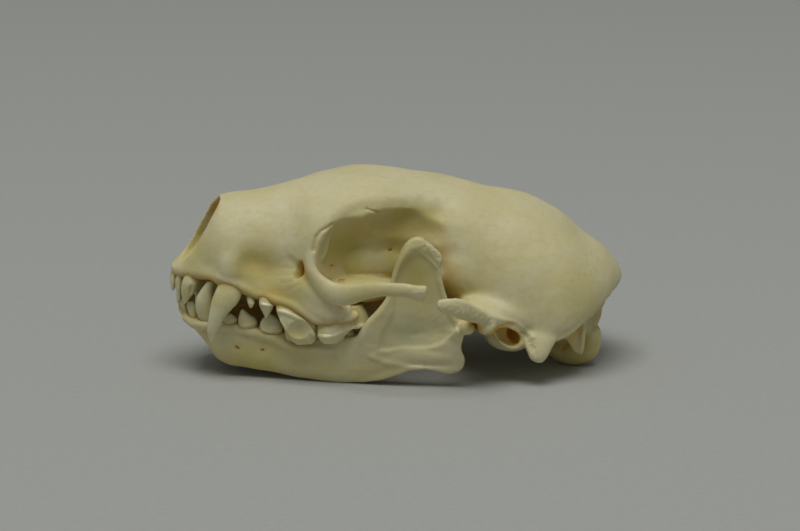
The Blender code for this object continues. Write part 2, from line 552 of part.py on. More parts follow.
def ramus(side, home):
    """The upright plate of one lower jaw, from its outline in the side view."""
    shape = bpy.data.curves.new("ramus", "CURVE")
    shape.dimensions = "2D"
    shape.fill_mode = "BOTH"
    shape.extrude = (RAMUS_HALF_THICKNESS - RAMUS_EDGE) * MM
    shape.bevel_depth = RAMUS_EDGE * MM
    shape.bevel_resolution = 1
    shape.resolution_u = 6
    line = shape.splines.new("BEZIER")
    line.bezier_points.add(len(RAMUS_OUTLINE) - 1)
    line.use_cyclic_u = True
    for point, (x, z) in zip(line.bezier_points, RAMUS_OUTLINE):
        point.co = (x * MM, z * MM, 0)
        point.handle_left_type = point.handle_right_type = "AUTO"
    flat = bpy.data.objects.new("ramus outline", shape)
    home.objects.link(flat)
    graph = bpy.context.evaluated_depsgraph_get()
    data = bpy.data.meshes.new_from_object(flat.evaluated_get(graph))
    bpy.data.objects.remove(flat)
    centre = curve_through(RAMUS_CENTRE)
    bm = bmesh.new()
    bm.from_mesh(data)
    bmesh.ops.remove_doubles(bm, verts=bm.verts, dist=0.01 * MM)
    bmesh.ops.triangulate(bm, faces=bm.faces)
    for vertex in bm.verts:
        x, z, depth = vertex.co / MM
        vertex.co = (x, (centre(x) + depth) * side, z)
    return mesh_object("ramus", bm, home)


def build_mandible(name, side, home, shop):
    condyle_centre, condyle_radii = JAW_CONDYLE
    front_edge = [(-8.0, 12.6, 6.5, 1.5, 1.3), (-5.6, 13.6, 11.0, 1.1, 1.2), (-3.3, 14.5, 15.0, 0.8, 1.1),
                  (-2.2, 14.9, 19.0, 0.7, 0.9), (-0.9, 15.3, 22.8, 0.7, 0.8), (1.0, 15.6, 24.0, 0.7, 0.8)]
    lower_edge = [(-9.0, 12.2, 2.6, 2.0, 1.7), (-4.0, 13.7, 3.4, 2.2, 1.2), (1.0, 15.1, 5.0, 1.7, 1.05),
                  (5.0, 16.0, 5.0, 1.6, 1.0), (7.2, 16.5, 4.9, 1.5, 0.9)]
    neck = [(4.5, 16.2, 8.5, 1.5, 1.0), (7.2, 16.8, 10.6, 1.2, 1.6)]
    pieces = [
        loft("body", body_rings(side), shop),
        ramus(side, shop),
        bar("front edge", sided(front_edge, side), shop, across=(1, 0, 0)),
        bar("lower edge", sided(lower_edge, side), shop),
        bar("neck", sided(neck, side), shop, steps=6),
        ellipsoid("jaw condyle", condyle_centre, condyle_radii, shop, side),
    ]
    jaw = blended(name, pieces, shop, FINE_VOXEL, FINE_SMOOTHING)
    cut_by(jaw, [ellipsoid("masseteric fossa", *MASSETERIC_FOSSA, shop, side, segments=30)], shop)
    jaw = blended(name, [jaw], home, FINE_VOXEL, EDGE_SMOOTHING)
    thinned(jaw, JAW_TRIANGLES)
    return with_teeth(jaw, teeth(LOWER_TEETH, side, shop), shop)


def main():
    clear_scene()
    skull = new_collection("skunk skull")
    shop = new_collection("shaping pieces", hidden=True)
    parts = [build_cranium(skull, shop)]
    for name, side in SIDES.items():
        parts.append(build_mandible("mandible_" + name, side, skull, shop))
    set_down(parts)
    bone = material(*BONE)
    for part in parts:
        part.data.materials.clear()
        part.data.materials.append(bone)
        part.data.shade_smooth()


main()
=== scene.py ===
"""Striped skunk skull with its lower jaws: the fine bone and teeth that plain solids leave out.

Shapes are worked out in millimetres. The skull faces -X, its own left side is -Y and +Z
is up. Each finished piece is moved by PLACE and turned into metres.
"""

import math

import bmesh
import bpy
import numpy as np
from mathutils import Matrix, Vector, noise
from mathutils.bvhtree import BVHTree
from mathutils.kdtree import KDTree


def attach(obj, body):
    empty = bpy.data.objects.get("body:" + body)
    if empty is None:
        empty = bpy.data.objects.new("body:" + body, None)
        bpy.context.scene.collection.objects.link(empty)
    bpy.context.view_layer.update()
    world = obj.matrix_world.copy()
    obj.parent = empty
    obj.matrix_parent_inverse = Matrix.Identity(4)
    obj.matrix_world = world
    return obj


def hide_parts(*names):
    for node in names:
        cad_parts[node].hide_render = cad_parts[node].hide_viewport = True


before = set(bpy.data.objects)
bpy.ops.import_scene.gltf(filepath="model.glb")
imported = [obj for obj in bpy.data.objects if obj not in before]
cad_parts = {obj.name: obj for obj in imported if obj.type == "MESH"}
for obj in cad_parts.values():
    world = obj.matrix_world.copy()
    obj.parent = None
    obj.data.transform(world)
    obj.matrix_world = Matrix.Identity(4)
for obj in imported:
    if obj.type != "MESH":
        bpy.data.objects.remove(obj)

MM = 0.001
SIDES = {"left": -1, "right": 1}

# In the sizes below: X of the middle of the skull's length, and the height at which its
# lowest points are made flat
SKULL_MIDDLE = -0.48
FLOOR_FLAT = 0.12
PLACE = Vector((-SKULL_MIDDLE, 0.0, -FLOOR_FLAT))

# Camera of the photo
CAMERA_AZIMUTH = math.radians(-6)
CAMERA_HEIGHT = math.radians(14)
CAMERA_DISTANCE = 500.0
CAMERA_TARGET = Vector((0.0, 0.0, 16.53))
CAMERA_LENS = 135.0
CAMERA_SENSOR = 36.0

# Fineness of the bone and the teeth
VAULT_RINGS = 110
VAULT_SIDES = 96
MASS_VOXEL = 0.40
HOLLOW_VOXEL = 0.34
BONE_VOXEL = 0.20
TOOTH_VOXEL = 0.10
MASS_SMOOTHING = 13
HOLLOW_SMOOTHING = 12
BAR_SMOOTHING = 7
EDGE_SMOOTHING = 4
TOOTH_SMOOTHING = 4

# Cranium, seen from the side and from above: height or half width along X
SKULL_FRONT = -37.9
SKULL_BACK = 37.4
SKIN = 0.25
TOP = [(-38.0, 16.7), (-37.4, 17.9), (-36.4, 19.2), (-35.3, 21.0), (-34.0, 23.3), (-32.8, 25.9),
       (-31.9, 27.6), (-30.8, 28.7), (-29.2, 29.1), (-22.7, 29.9), (-16.4, 31.2), (-11.3, 32.3),
       (-6.3, 32.85), (0.4, 32.4), (7.0, 31.4), (13.7, 29.6), (22.0, 27.5), (26.3, 25.2),
       (30.5, 21.6), (34.2, 19.0), (35.4, 17.8), (36.2, 16.7), (36.8, 15.5), (37.2, 14.3)]
BOTTOM = [(-38.0, 15.7), (-34.0, 15.9), (-30.0, 15.7), (-25.0, 15.0), (-20.0, 14.2), (-14.0, 12.8),
          (-9.5, 12.0), (-5.0, 11.6), (-1.0, 10.9), (4.0, 9.9), (10.0, 8.4), (16.0, 6.6),
          (22.0, 4.8), (26.0, 3.4), (29.0, 2.9), (31.5, 3.6), (32.6, 4.8), (33.3, 6.4), (33.7, 8.8),
          (34.3, 10.8), (35.4, 12.2), (36.4, 13.1), (37.4, 13.6)]
HALF_WIDTH = [(-38.0, 0.6), (-37.4, 2.6), (-36.0, 4.4), (-34.0, 5.7), (-32.0, 7.2), (-30.0, 8.9),
              (-28.0, 9.5), (-25.0, 9.4), (-22.0, 9.9), (-18.5, 11.0), (-16.2, 12.5), (-13.0, 12.8),
              (-9.0, 11.6), (-5.0, 11.2), (-1.0, 10.2), (3.0, 9.9), (6.0, 11.1), (10.0, 13.2),
              (14.0, 14.9), (18.0, 16.1), (22.0, 16.8), (24.5, 16.8), (26.6, 16.1), (29.0, 14.5),
              (31.6, 12.0), (34.0, 8.8), (35.8, 5.6), (36.9, 3.2), (37.4, 1.4)]
WIDEST_AT = [(-38.0, 16.4), (-34.0, 17.8), (-26.0, 18.3), (-22.0, 19.0), (-18.0, 20.5), (-14.0, 23.0),
             (-9.0, 26.5), (-5.0, 27.2), (-1.0, 26.8), (3.0, 24.0), (6.0, 20.5), (10.0, 16.5),
             (13.6, 13.8), (16.6, 12.0), (20.0, 10.2), (24.2, 9.0), (26.6, 9.5), (29.0, 10.7), (31.6, 11.8),
             (34.0, 12.8), (35.9, 13.4), (37.4, 13.7)]
SQUARENESS_ABOVE = [(-38.0, 2.0), (-20.0, 2.0), (-12.0, 2.3), (-6.0, 2.5), (2.0, 2.4), (12.0, 2.1),
                    (37.7, 2.0)]
SQUARENESS_BELOW = [(-38.0, 2.6), (-30.0, 3.2), (-18.0, 3.0), (-13.0, 2.4), (-8.0, 1.6), (-3.0, 1.45),
                    (4.0, 1.7), (12.0, 1.7), (22.0, 1.6), (27.5, 1.4), (37.7, 1.4)]
CREST_HEIGHT = [(-20.0, 0.0), (4.0, 0.0), (14.0, 0.2), (24.0, 0.4), (31.0, 0.2), (34.5, 0.0), (37.7, 0.0)]
CREST_HALF_WIDTH = 1.1

# Hollows of the cranium: centre and radii on the right side, and the tilt of some about Y
EYE_SOCKET = ((-8.3, 18.9, 21.0), (7.7, 11.0, 8.8))
TEMPORAL_HOLLOW = ((-1.6, 21.6, 21.0), (11.6, 13.2, 9.4))
BROW_HOLLOW = ((-0.5, 22.0, 25.0), (12.6, 13.5, 7.3))
CHOANA = ((-1.5, 0.0, 9.2), (9.5, 3.0, 4.2))
CANINE_NOTCH = ((-32.7, 7.8, 15.0), (2.3, 2.8, 2.0))
FORAMEN_MAGNUM = ((31.3, 0.0, 4.2), (7.5, 4.3, 3.0))
FORAMEN_TILT = 50
EAR_FUNNEL = ((15.8, 17.0, 8.4), (2.4, 2.4, 1.35))
EAR_BORE = ((16.9, 16.0, 8.2), (1.35, 3.6, 0.85))
EAR_TILT = 38
BORE_TILT = 62
BASE_FORAMINA = [((8.4, 7.4, 8.2), (1.0, 0.8, 1.6)), ((22.4, 8.2, 5.6), (1.3, 0.9, 2.0)),
                 ((26.6, 6.6, 4.0), (0.6, 0.8, 1.2)), ((-30.6, 1.7, 15.6), (1.7, 0.55, 1.5)),
                 ((12.2, 5.6, 7.2), (0.8, 0.6, 1.2))]
MASTOID_RECESS = ((26.4, 16.3, 5.6), (2.3, 3.4, 1.9))
# Small pits on the side of the skull: x and z, the distance they are looked for from, radii, tilt
ORBIT_PITS = [(-12.2, 19.2, 11.0, (0.28, 0.4, 0.24), 0), (-10.7, 16.9, 11.0, (0.55, 0.5, 0.42), -15),
              (-2.5, 21.3, 11.0, (0.36, 0.4, 0.28), 0)]
JAW_PITS = [(-27.7, 5.35, 12.0, (0.5, 0.45, 0.24), 40), (-23.6, 5.15, 13.0, (0.34, 0.4, 0.24), 0)]
# Painted shade, yellow, in the hollow of the outer face of the large upper shearing tooth: centre and radii
SHEAR_FACE_PAINTED_SHADE = ((-18.2, 13.3, 9.3), (2.4, 1.6, 2.0))
JAW_CONDYLE = ((9.1, 16.2, 10.3), (1.45, 3.3, 1.4))
JOINT_GAP = 0.35

# Edge of the nose's opening from its top to its foot: x, half width, z
NASAL_RIM = [(-29.9, 1.4, 28.8), (-30.4, 2.7, 28.0), (-31.1, 3.6, 27.0), (-31.9, 4.1, 25.6),
             (-32.8, 4.3, 24.0), (-33.7, 4.3, 22.3), (-34.7, 3.9, 20.7), (-35.8, 3.0, 19.3),
             (-36.7, 1.6, 18.4)]
# How the opening goes on inwards: shift along X and Z, and scale of its width and height
NASAL_DEPTHS = [(-5.0, 3.6, 1.25, 1.1), (0.0, 0.0, 1.0, 1.0), (1.1, -0.5, 1.1, 0.98), (4.5, -0.8, 1.15, 0.9),
                (9.0, -1.0, 1.0, 0.75), (14.0, -1.2, 0.6, 0.5)]

# Lower jaw
BODY_TOP = [(-37.0, 10.6), (-36.0, 10.4), (-34.5, 9.9), (-32.5, 9.9), (-29.0, 9.8), (-26.0, 9.3),
            (-22.0, 8.5), (-18.0, 8.0), (-14.0, 7.8), (-9.0, 8.0), (-4.0, 8.0), (-1.0, 6.6)]
BODY_BOTTOM = [(-37.0, 10.1), (-36.0, 9.0), (-34.5, 7.4), (-33.0, 5.6), (-31.3, 3.0), (-29.5, 1.85),
               (-26.0, 1.45), (-22.0, 1.1), (-18.0, 0.45), (-14.0, 0.1), (-10.0, 0.0), (-7.0, 0.3),
               (-4.0, 0.9), (-1.0, 2.6)]
BODY_OUTER = [(-37.0, 1.5), (-36.0, 3.0), (-34.5, 4.5), (-33.0, 5.7), (-31.0, 6.9), (-29.0, 7.6),
              (-26.0, 8.4), (-22.0, 9.7), (-18.0, 11.0), (-14.0, 12.3), (-10.0, 13.5), (-6.0, 14.4),
              (-4.0, 14.7), (-1.0, 15.1)]
BODY_INNER = [(-37.0, 0.08), (-30.0, 0.08), (-28.0, 1.4), (-26.0, 3.2), (-22.0, 5.4), (-18.0, 7.3),
              (-14.0, 8.8), (-10.0, 10.2), (-4.0, 12.8), (-1.0, 14.3)]
BODY_RINGS = 80
BODY_SIDES = 32
BODY_ROUNDING = 0.68
RAMUS_OUTLINE = [(-9.5, 5.0), (-7.2, 9.2), (-6.4, 10.8), (-5.6, 11.6), (-4.4, 12.4), (-3.6, 14.6),
                 (-2.9, 18.0), (-2.0, 21.0), (-1.2, 23.0), (0.0, 24.5), (1.4, 25.0), (2.7, 24.3),
                 (4.2, 23.1), (5.1, 21.9), (4.9, 20.0),
                 (5.2, 18.0), (5.9, 15.4), (6.8, 12.9), (8.1, 10.6), (8.6, 9.0), (8.2, 6.8), (8.8, 4.6),
                 (8.3, 3.2), (6.6, 2.4), (3.6, 2.9), (0.6, 3.0), (-2.0, 1.9), (-5.5, 0.8), (-9.5, 1.0)]
RAMUS_CENTRE = [(-10.0, 12.0), (-7.0, 13.1), (-3.0, 14.4), (2.0, 15.6), (9.0, 16.8)]
RAMUS_HALF_THICKNESS = 0.9
RAMUS_EDGE = 0.35
# Outline of the sunken outer plate of the ramus: coronoid process and muscle hollow
RAMUS_PLATE = [(-5.4, 5.8), (-4.9, 8.9), (-4.0, 10.6), (-3.1, 12.6), (-2.7, 17.6), (-2.0, 19.9), (-1.1, 21.5),
               (0.1, 22.6), (1.3, 23.0), (2.7, 22.0), (3.9, 20.7), (4.6, 20.0), (4.6, 18.0), (5.4, 15.0),
               (6.6, 12.2), (7.6, 10.4), (6.4, 8.4), (4.8, 7.0), (2.6, 6.3), (-1.0, 6.2), (-3.4, 5.7)]
# Outline of the rough strip between the ear and the mastoid process
EAR_STRIP = [(17.6, 10.2), (19.0, 8.9), (20.3, 7.4), (20.5, 6.5), (19.4, 5.4), (18.9, 6.6), (18.5, 7.8),
             (17.6, 9.4)]

# Teeth of one side as levels: height, front, back, distance from the middle, half width
UPPER_TEETH = {
    "I1": [(17.2, -37.4, -36.6, 0.85, 0.6), (16.0, -38.15, -37.1, 0.88, 0.76),
           (14.8, -38.3, -37.3, 0.88, 0.8), (13.6, -38.1, -37.6, 0.88, 0.6)],
    "I2": [(17.2, -36.9, -35.9, 2.4, 0.65), (15.8, -37.45, -36.1, 2.45, 0.82), (14.6, -37.5, -36.3, 2.5, 0.8),
           (13.2, -37.35, -36.5, 2.45, 0.62), (12.2, -37.1, -36.6, 2.4, 0.35)],
    "I3": [(17.4, -35.6, -34.0, 4.1, 0.8), (16.4, -36.2, -33.7, 4.35, 1.12),
           (15.7, -36.45, -33.75, 4.45, 1.2), (14.8, -36.6, -34.05, 4.4, 1.12),
           (13.5, -36.55, -34.7, 4.3, 0.85), (12.7, -36.4, -35.4, 4.2, 0.55),
           (11.9, -36.25, -35.9, 4.1, 0.25)],
    "C": [(17.6, -30.0, -26.9, 8.5, 0.95), (16.3, -30.7, -26.7, 8.8, 1.2), (15.0, -31.3, -26.8, 9.1, 1.33),
          (14.2, -31.65, -27.05, 9.2, 1.38), (13.2, -31.95, -27.6, 9.3, 1.35),
          (12.4, -32.1, -28.4, 9.3, 1.25), (11.1, -32.35, -29.5, 9.3, 1.08),
          (10.1, -32.5, -30.1, 9.3, 0.93), (8.2, -32.6, -31.1, 9.2, 0.62), (6.8, -32.15, -31.7, 9.1, 0.25)],
    "P2": [(14.9, -26.0, -25.1, 9.2, 0.4), (13.8, -26.1, -24.9, 9.5, 0.6), (13.3, -26.0, -24.8, 9.65, 0.6),
           (12.9, -25.85, -25.0, 9.7, 0.42), (12.5, -25.65, -25.25, 9.7, 0.2)],
    "P3": [(15.0, -23.9, -22.2, 10.0, 0.6), (14.0, -24.15, -21.95, 10.35, 0.88),
           (13.3, -24.2, -21.75, 10.55, 0.95), (12.7, -24.0, -21.85, 10.6, 0.83),
           (12.0, -23.65, -22.25, 10.6, 0.6), (11.0, -23.2, -22.9, 10.6, 0.22)],
    "P4": [(14.8, -20.9, -16.5, 11.0, 0.8), (12.8, -21.5, -16.4, 11.75, 1.05),
           (11.6, -21.2, -15.5, 12.15, 1.15), (10.2, -20.5, -15.0, 12.5, 1.15),
           (8.7, -19.85, -15.0, 12.7, 0.98), (7.6, -19.1, -15.1, 12.75, 0.72),
           (6.9, -18.3, -15.7, 12.75, 0.35)],
    "M1": [(12.5, -14.5, -9.5, 12.5, 1.3), (10.2, -14.9, -8.9, 13.0, 1.35), (9.2, -14.95, -9.5, 13.35, 1.3),
           (8.2, -14.85, -10.6, 13.5, 1.12), (7.1, -13.9, -11.7, 13.5, 0.5)],
}
UPPER_LOBES = {
    "P4": [[(14.4, -21.0, -18.6, 9.6, 1.1), (12.4, -20.9, -18.4, 9.3, 1.25), (10.7, -20.3, -19.0, 9.2, 0.6)]],
    "M1": [[(13.0, -13.8, -7.4, 10.8, 2.2), (11.4, -14.2, -6.5, 10.7, 2.6), (9.8, -14.0, -6.3, 10.6, 2.6),
            (9.1, -13.2, -7.0, 10.6, 2.0)]],
}
UPPER_RIDGES = {
    "P3": [[(-24.0, 11.2, 13.5, 0.2), (-23.0, 11.5, 13.3, 0.22), (-21.9, 11.3, 13.2, 0.2)]],
    "P4": [[(-21.4, 12.35, 12.6, 0.34), (-20.0, 12.8, 12.3, 0.42), (-18.3, 13.2, 11.6, 0.46),
            (-17.0, 13.5, 10.7, 0.45), (-16.1, 13.7, 9.5, 0.42), (-15.3, 13.5, 8.4, 0.34)],
           [(-20.9, 12.6, 11.4, 0.28), (-19.6, 13.1, 9.2, 0.32), (-18.3, 13.0, 7.4, 0.28)]],
    "M1": [[(-14.9, 13.7, 8.7, 0.3), (-13.6, 14.6, 8.5, 0.36), (-12.3, 14.6, 8.7, 0.32),
            (-11.0, 14.4, 9.2, 0.34), (-9.7, 13.9, 9.6, 0.3), (-8.6, 13.2, 9.9, 0.28)],
           [(-13.8, 10.9, 9.2, 0.5), (-12.0, 9.0, 9.0, 0.55), (-9.2, 8.9, 9.2, 0.5), (-6.9, 10.7, 9.6, 0.5),
            (-7.6, 12.4, 9.7, 0.45), (-9.4, 13.4, 9.6, 0.3)]],
}
UPPER_CUSPS = {
    "M1": [((-13.2, 13.4, 8.2), (0.95, 0.9, 1.15)), ((-11.3, 13.3, 8.4), (0.85, 0.85, 1.0)),
           ((-12.4, 9.4, 9.2), (0.9, 0.8, 0.9))],
}
UPPER_HOLLOWS = {
    "P4": [((-18.2, 16.7, 9.6), (3.6, 3.75, 3.0))],
    "M1": [((-10.6, 11.2, 8.0), (2.2, 1.3, 1.3))],
    "I3": [((-35.0, 5.9, 14.2), (0.5, 0.9, 1.5))],
}
LOWER_TEETH = {
    "i1": [(9.2, -36.3, -35.4, 0.75, 0.4), (10.6, -36.9, -36.0, 0.8, 0.5), (11.8, -37.25, -36.5, 0.82, 0.48),
           (12.6, -37.2, -36.8, 0.82, 0.28)],
    "i2": [(8.6, -35.7, -34.7, 2.1, 0.45), (10.2, -36.3, -35.3, 2.15, 0.55), (11.6, -36.7, -35.8, 2.15, 0.5),
           (12.4, -36.6, -36.1, 2.1, 0.28)],
    "i3": [(7.8, -34.6, -33.4, 3.5, 0.5), (9.0, -35.0, -33.7, 3.6, 0.65), (10.4, -35.45, -34.0, 3.6, 0.7),
           (11.5, -35.7, -34.1, 3.6, 0.6), (12.3, -35.6, -34.5, 3.6, 0.3)],
    "c": [(7.6, -33.2, -30.9, 5.2, 1.0), (9.2, -33.5, -30.8, 5.5, 1.2), (10.2, -33.95, -30.9, 5.65, 1.3),
          (11.7, -34.35, -31.1, 5.85, 1.3), (13.2, -34.3, -31.35, 6.1, 1.15), (14.8, -33.5, -31.5, 6.4, 0.8),
          (15.7, -32.9, -31.45, 6.65, 0.6), (16.4, -32.4, -31.6, 6.9, 0.35)],
    "p2": [(7.6, -29.6, -27.8, 6.1, 0.6), (9.1, -29.9, -27.5, 6.6, 0.8), (9.7, -29.9, -27.5, 6.75, 0.75),
           (10.3, -29.6, -27.8, 6.8, 0.5), (10.8, -29.1, -28.5, 6.8, 0.2)],
    "p3": [(7.0, -27.0, -24.9, 7.1, 0.7), (8.6, -27.4, -24.4, 7.6, 0.95), (9.6, -27.5, -24.3, 7.75, 0.95),
           (10.3, -27.45, -24.7, 7.8, 0.75), (11.0, -27.3, -25.7, 7.85, 0.5),
           (11.8, -27.0, -26.5, 7.85, 0.2)],
    "p4": [(6.4, -23.5, -20.6, 8.3, 0.8), (7.9, -23.7, -20.2, 8.75, 1.05), (9.0, -24.05, -20.3, 8.95, 1.05),
           (9.9, -23.85, -20.7, 9.0, 0.8), (10.6, -23.4, -21.3, 9.0, 0.55), (11.2, -22.7, -22.1, 9.0, 0.25)],
    "m1": [(6.0, -20.0, -11.4, 9.9, 1.0), (8.2, -20.0, -11.0, 10.1, 1.15), (8.9, -19.8, -11.4, 10.1, 1.0)],
    "m2": [(6.2, -10.8, -8.8, 11.0, 0.9), (8.3, -11.0, -8.6, 11.1, 0.95), (8.9, -10.4, -9.2, 11.1, 0.5)],
}
LOWER_RIDGES = {
    "p3": [[(-27.3, 8.3, 9.3, 0.2), (-26.0, 8.6, 9.2, 0.22), (-24.6, 8.3, 9.6, 0.2)]],
    "p4": [[(-23.8, 9.6, 8.8, 0.22), (-22.2, 9.9, 8.4, 0.24), (-20.5, 9.5, 8.7, 0.22)]],
    "m1": [[(-14.6, 9.4, 8.8, 0.35), (-13.0, 9.1, 8.9, 0.35), (-11.3, 10.1, 8.9, 0.35),
            (-12.6, 11.1, 8.9, 0.35), (-14.4, 11.0, 8.9, 0.35)]],
}
LOWER_CUSPS = {
    "m1": [((-18.7, 10.1, 9.1), (1.5, 0.75, 1.3)), ((-16.0, 10.4, 9.1), (1.5, 0.8, 1.5)),
           ((-15.6, 9.3, 8.8), (0.8, 0.6, 1.1))],
}
LOWER_HOLLOWS = {"m1": [((-12.9, 10.2, 9.3), (1.2, 0.75, 0.7))]}
TOOTH_SIDES = 28
TOOTH_RINGS = 22

# Marks on the bone that its material reads. The marks for hollows and for yellower shaded bone are painted
# shade; the stain and gum marks hold real stains together with painted shade
MARKS = ("stain", "gum", "recess", "chalk", "thin", "tan")

# Where painted shade makes the bone yellower: centre and radii on the right side, and how much
PAINTED_SHADE_CRANIUM = [((-21.0, 12.0, 15.6), (6.5, 5.0, 4.0), 0.9), ((-24.5, 9.6, 19.6), (3.4, 4.0, 3.2), 0.8),
               ((-33.5, 4.0, 19.0), (3.4, 5.0, 3.6), 0.6), ((-6.0, 9.0, 22.0), (9.5, 4.5, 6.5), 1.0),
               ((0.5, 9.0, 26.6), (6.0, 3.5, 2.6), 0.9), ((28.0, 14.0, 15.0), (6.0, 5.0, 5.0), 0.5),
               ((15.0, 12.0, 20.0), (5.0, 5.0, 3.4), 0.4), ((28.0, 6.0, 3.0), (7.0, 6.0, 5.0), 0.9),
               ((-8.0, 20.0, 16.5), (7.0, 5.0, 2.4), 0.4), ((33.0, 4.0, 8.0), (4.0, 6.0, 4.0), 0.7)]
PAINTED_SHADE_JAW = [((-22.0, 9.5, 3.0), (13.0, 4.0, 4.6), 0.8), ((1.0, 15.5, 18.0), (3.4, 2.0, 6.0), 0.8),
           ((-6.0, 12.0, 2.0), (6.0, 5.0, 2.0), 0.5)]
# Other marks of the cranium in soft balls: the mark, centre and radii, and how much. All of them are
# painted shade: in the orbit, the cheek and canine hollows, the mouth, the back and top of the nose, and the
# ear canal
PAINTED_SHADE_BALLS = [("recess", (-2.5, 9.0, 25.2), (7.5, 4.0, 3.8), 0.5),
              ("recess", (-21.5, 11.5, 15.0), (4.5, 2.5, 2.2), 0.55),
              ("recess", (-24.0, 9.6, 19.4), (3.2, 3.0, 3.2), 0.5),
              ("stain", (-23.0, 2.0, 12.6), (11.0, 4.0, 2.6), 0.9),
              ("stain", (-4.5, 4.0, 12.0), (4.5, 4.0, 2.2), 0.6),
              ("stain", (-30.8, 3.2, 26.4), (1.6, 1.2, 1.8), 0.5),
              ("stain", EAR_BORE[0], (1.0, 4.2, 1.3), 0.8)]

# A path reaches this many of its widths, a ball fades out at this many of its radii, and
# roughness weaker than this share is left out
PATH_REACH = 2.5
BALL_REACH = 1.5
ROUGH_FROM = 0.02
# Brown groove around each tooth, and painted shade on the bone that faces the mouth
GUM_REACH = 3.0
GROOVE_WIDTH = 0.25
GROOVE_DEPTH = 0.08
GUM_PATCHY = 0.6
GUM_GRAIN = 1.2
MOUTH_PAINTED_SHADE = 0.9
MOUTH_PAINTED_SHADE_WIDTH = 2.2
# Yellow of a tooth near the bone, painted shade in its hollow, and painted shade in a small pit
ROOT_REACH = 1.0
ROOT_WIDTH = 0.45
HOLLOW_PAINTED_SHADE = 0.55
PIT_PAINTED_SHADE = 0.55
# Painted shade from how shut in the bone is, more on faces turned down: rays of one sample, their length,
# their start above the skin, vertices for each sample, and how the share that meets bone becomes a mark
SHUT_RAYS = 20
SHUT_REACH = 14.0
SHUT_START = 0.1
SHUT_EVERY = 7
SHUT_GAIN = 1.4
SHUT_FROM = 0.15
UNDERSIDE_FROM = 0.4
UNDERSIDE_SHARE = 0.4

# Rolled plates of the inner nose: turns, centre (y, z) and radius; then what they share, and
# their cross-sections along X with the size of each
SCROLLS = [(1.6, (1.9, 21.2), 1.4), (1.3, (1.7, 24.8), 0.9)]
SCROLL_STEPS = 48
SCROLL_START = 0.25
SCROLL_TALL = 1.5
SCROLL_HALF_THICKNESS = 0.1
SCROLL_SECTIONS = [(-30.5, 0.6), (-29.8, 0.9), (-28.0, 1.0), (-25.0, 0.95), (-21.0, 0.7)]

# Collection in which shapes are worked out before they are shown
SHOP = bpy.data.collections.new("shaping pieces")
bpy.context.scene.collection.children.link(SHOP)


def curve_through(knots):
    """A smooth function of one number that passes through (place, value) knots."""
    xs = np.array([k[0] for k in knots], float)
    ys = np.array([k[1] for k in knots], float)
    slopes = np.gradient(ys, xs)
    level = np.diff(ys) == 0
    slopes[:-1][level] = 0.0
    slopes[1:][level] = 0.0

    def value(x):
        x = min(max(x, xs[0]), xs[-1])
        i = min(int(np.searchsorted(xs, x, side="right")) - 1, len(xs) - 2)
        step = xs[i + 1] - xs[i]
        t = (x - xs[i]) / step
        return float(
            ys[i] * (1 + 2 * t) * (1 - t) ** 2
            + ys[i + 1] * t * t * (3 - 2 * t)
            + slopes[i] * step * t * (1 - t) ** 2
            - slopes[i + 1] * step * t * t * (1 - t)
        )

    return value


def points_along(points, count):
    """The same number of smooth steps along a path of 3-D or longer rows."""
    rows = np.array(points, float)
    lengths = np.linalg.norm(np.diff(rows[:, :3], axis=0), axis=1)
    places = np.concatenate([[0.0], np.cumsum(lengths)])
    columns = [curve_through(list(zip(places, rows[:, c]))) for c in range(rows.shape[1])]
    return [[column(p) for column in columns] for p in np.linspace(0.0, places[-1], count)]


def shop_object(name, bm, outward=True):
    """Turns a bmesh into an object of the shop, as a rule with its faces turned outward."""
    if outward:
        bmesh.ops.recalc_face_normals(bm, faces=bm.faces)
    data = bpy.data.meshes.new(name)
    bm.to_mesh(data)
    bm.free()
    made = bpy.data.objects.new(name, data)
    SHOP.objects.link(made)
    return made


def tube(rings):
    """A skin over rings of the same number of points, open at both ends, and its vertices."""
    bm = bmesh.new()
    rows = [[bm.verts.new(p) for p in ring] for ring in rings]
    sides = len(rows[0])
    for low, high in zip(rows, rows[1:]):
        for k in range(sides):
            bm.faces.new((low[k], low[(k + 1) % sides], high[(k + 1) % sides], high[k]))
    return bm, rows


def loft(name, rings):
    """A tube closed by a fan at each end."""
    bm, rows = tube(rings)
    sides = len(rows[0])
    for row in (rows[0], rows[-1]):
        centre = bm.verts.new(sum((v.co for v in row), Vector()) / sides)
        for k in range(sides):
            bm.faces.new((row[k], row[(k + 1) % sides], centre))
    return shop_object(name, bm)


def strip(name, rings):
    """A flat tube closed at each end by a row of faces between its two long sides."""
    bm, rows = tube(rings)
    sides = len(rows[0])
    for row in (rows[0], rows[-1]):
        for k in range(sides // 2 - 1):
            bm.faces.new((row[k], row[k + 1], row[sides - 2 - k], row[sides - 1 - k]))
    return shop_object(name, bm)


def sided(rows, side):
    """Rows of a path with Y turned to the given side; side -1 is the skull's left."""
    return [(row[0], row[1] * side, *row[2:]) for row in rows]


def bar(name, rows, side=1, across=(0, 0, 1), steps=24, sides=18, end=0.45):
    """A rounded bar along rows of (x, y, z, half size towards across, half size sideways)."""
    path = points_along(sided(rows, side), steps)
    centres = [Vector(p[:3]) for p in path]
    rings = []
    for i, p in enumerate(path):
        ahead = (centres[min(i + 1, steps - 1)] - centres[max(i - 1, 0)]).normalized()
        towards = Vector(across)
        towards = (towards - towards.dot(ahead) * ahead).normalized()
        sideways = ahead.cross(towards)
        shrink = end if i in (0, steps - 1) else 1.0
        ring = []
        for k in range(sides):
            turn = 2 * math.pi * k / sides
            offset = towards * (p[3] * math.cos(turn)) + sideways * (p[4] * math.sin(turn))
            ring.append(centres[i] + offset * shrink)
        rings.append(ring)
    return loft(name, rings)


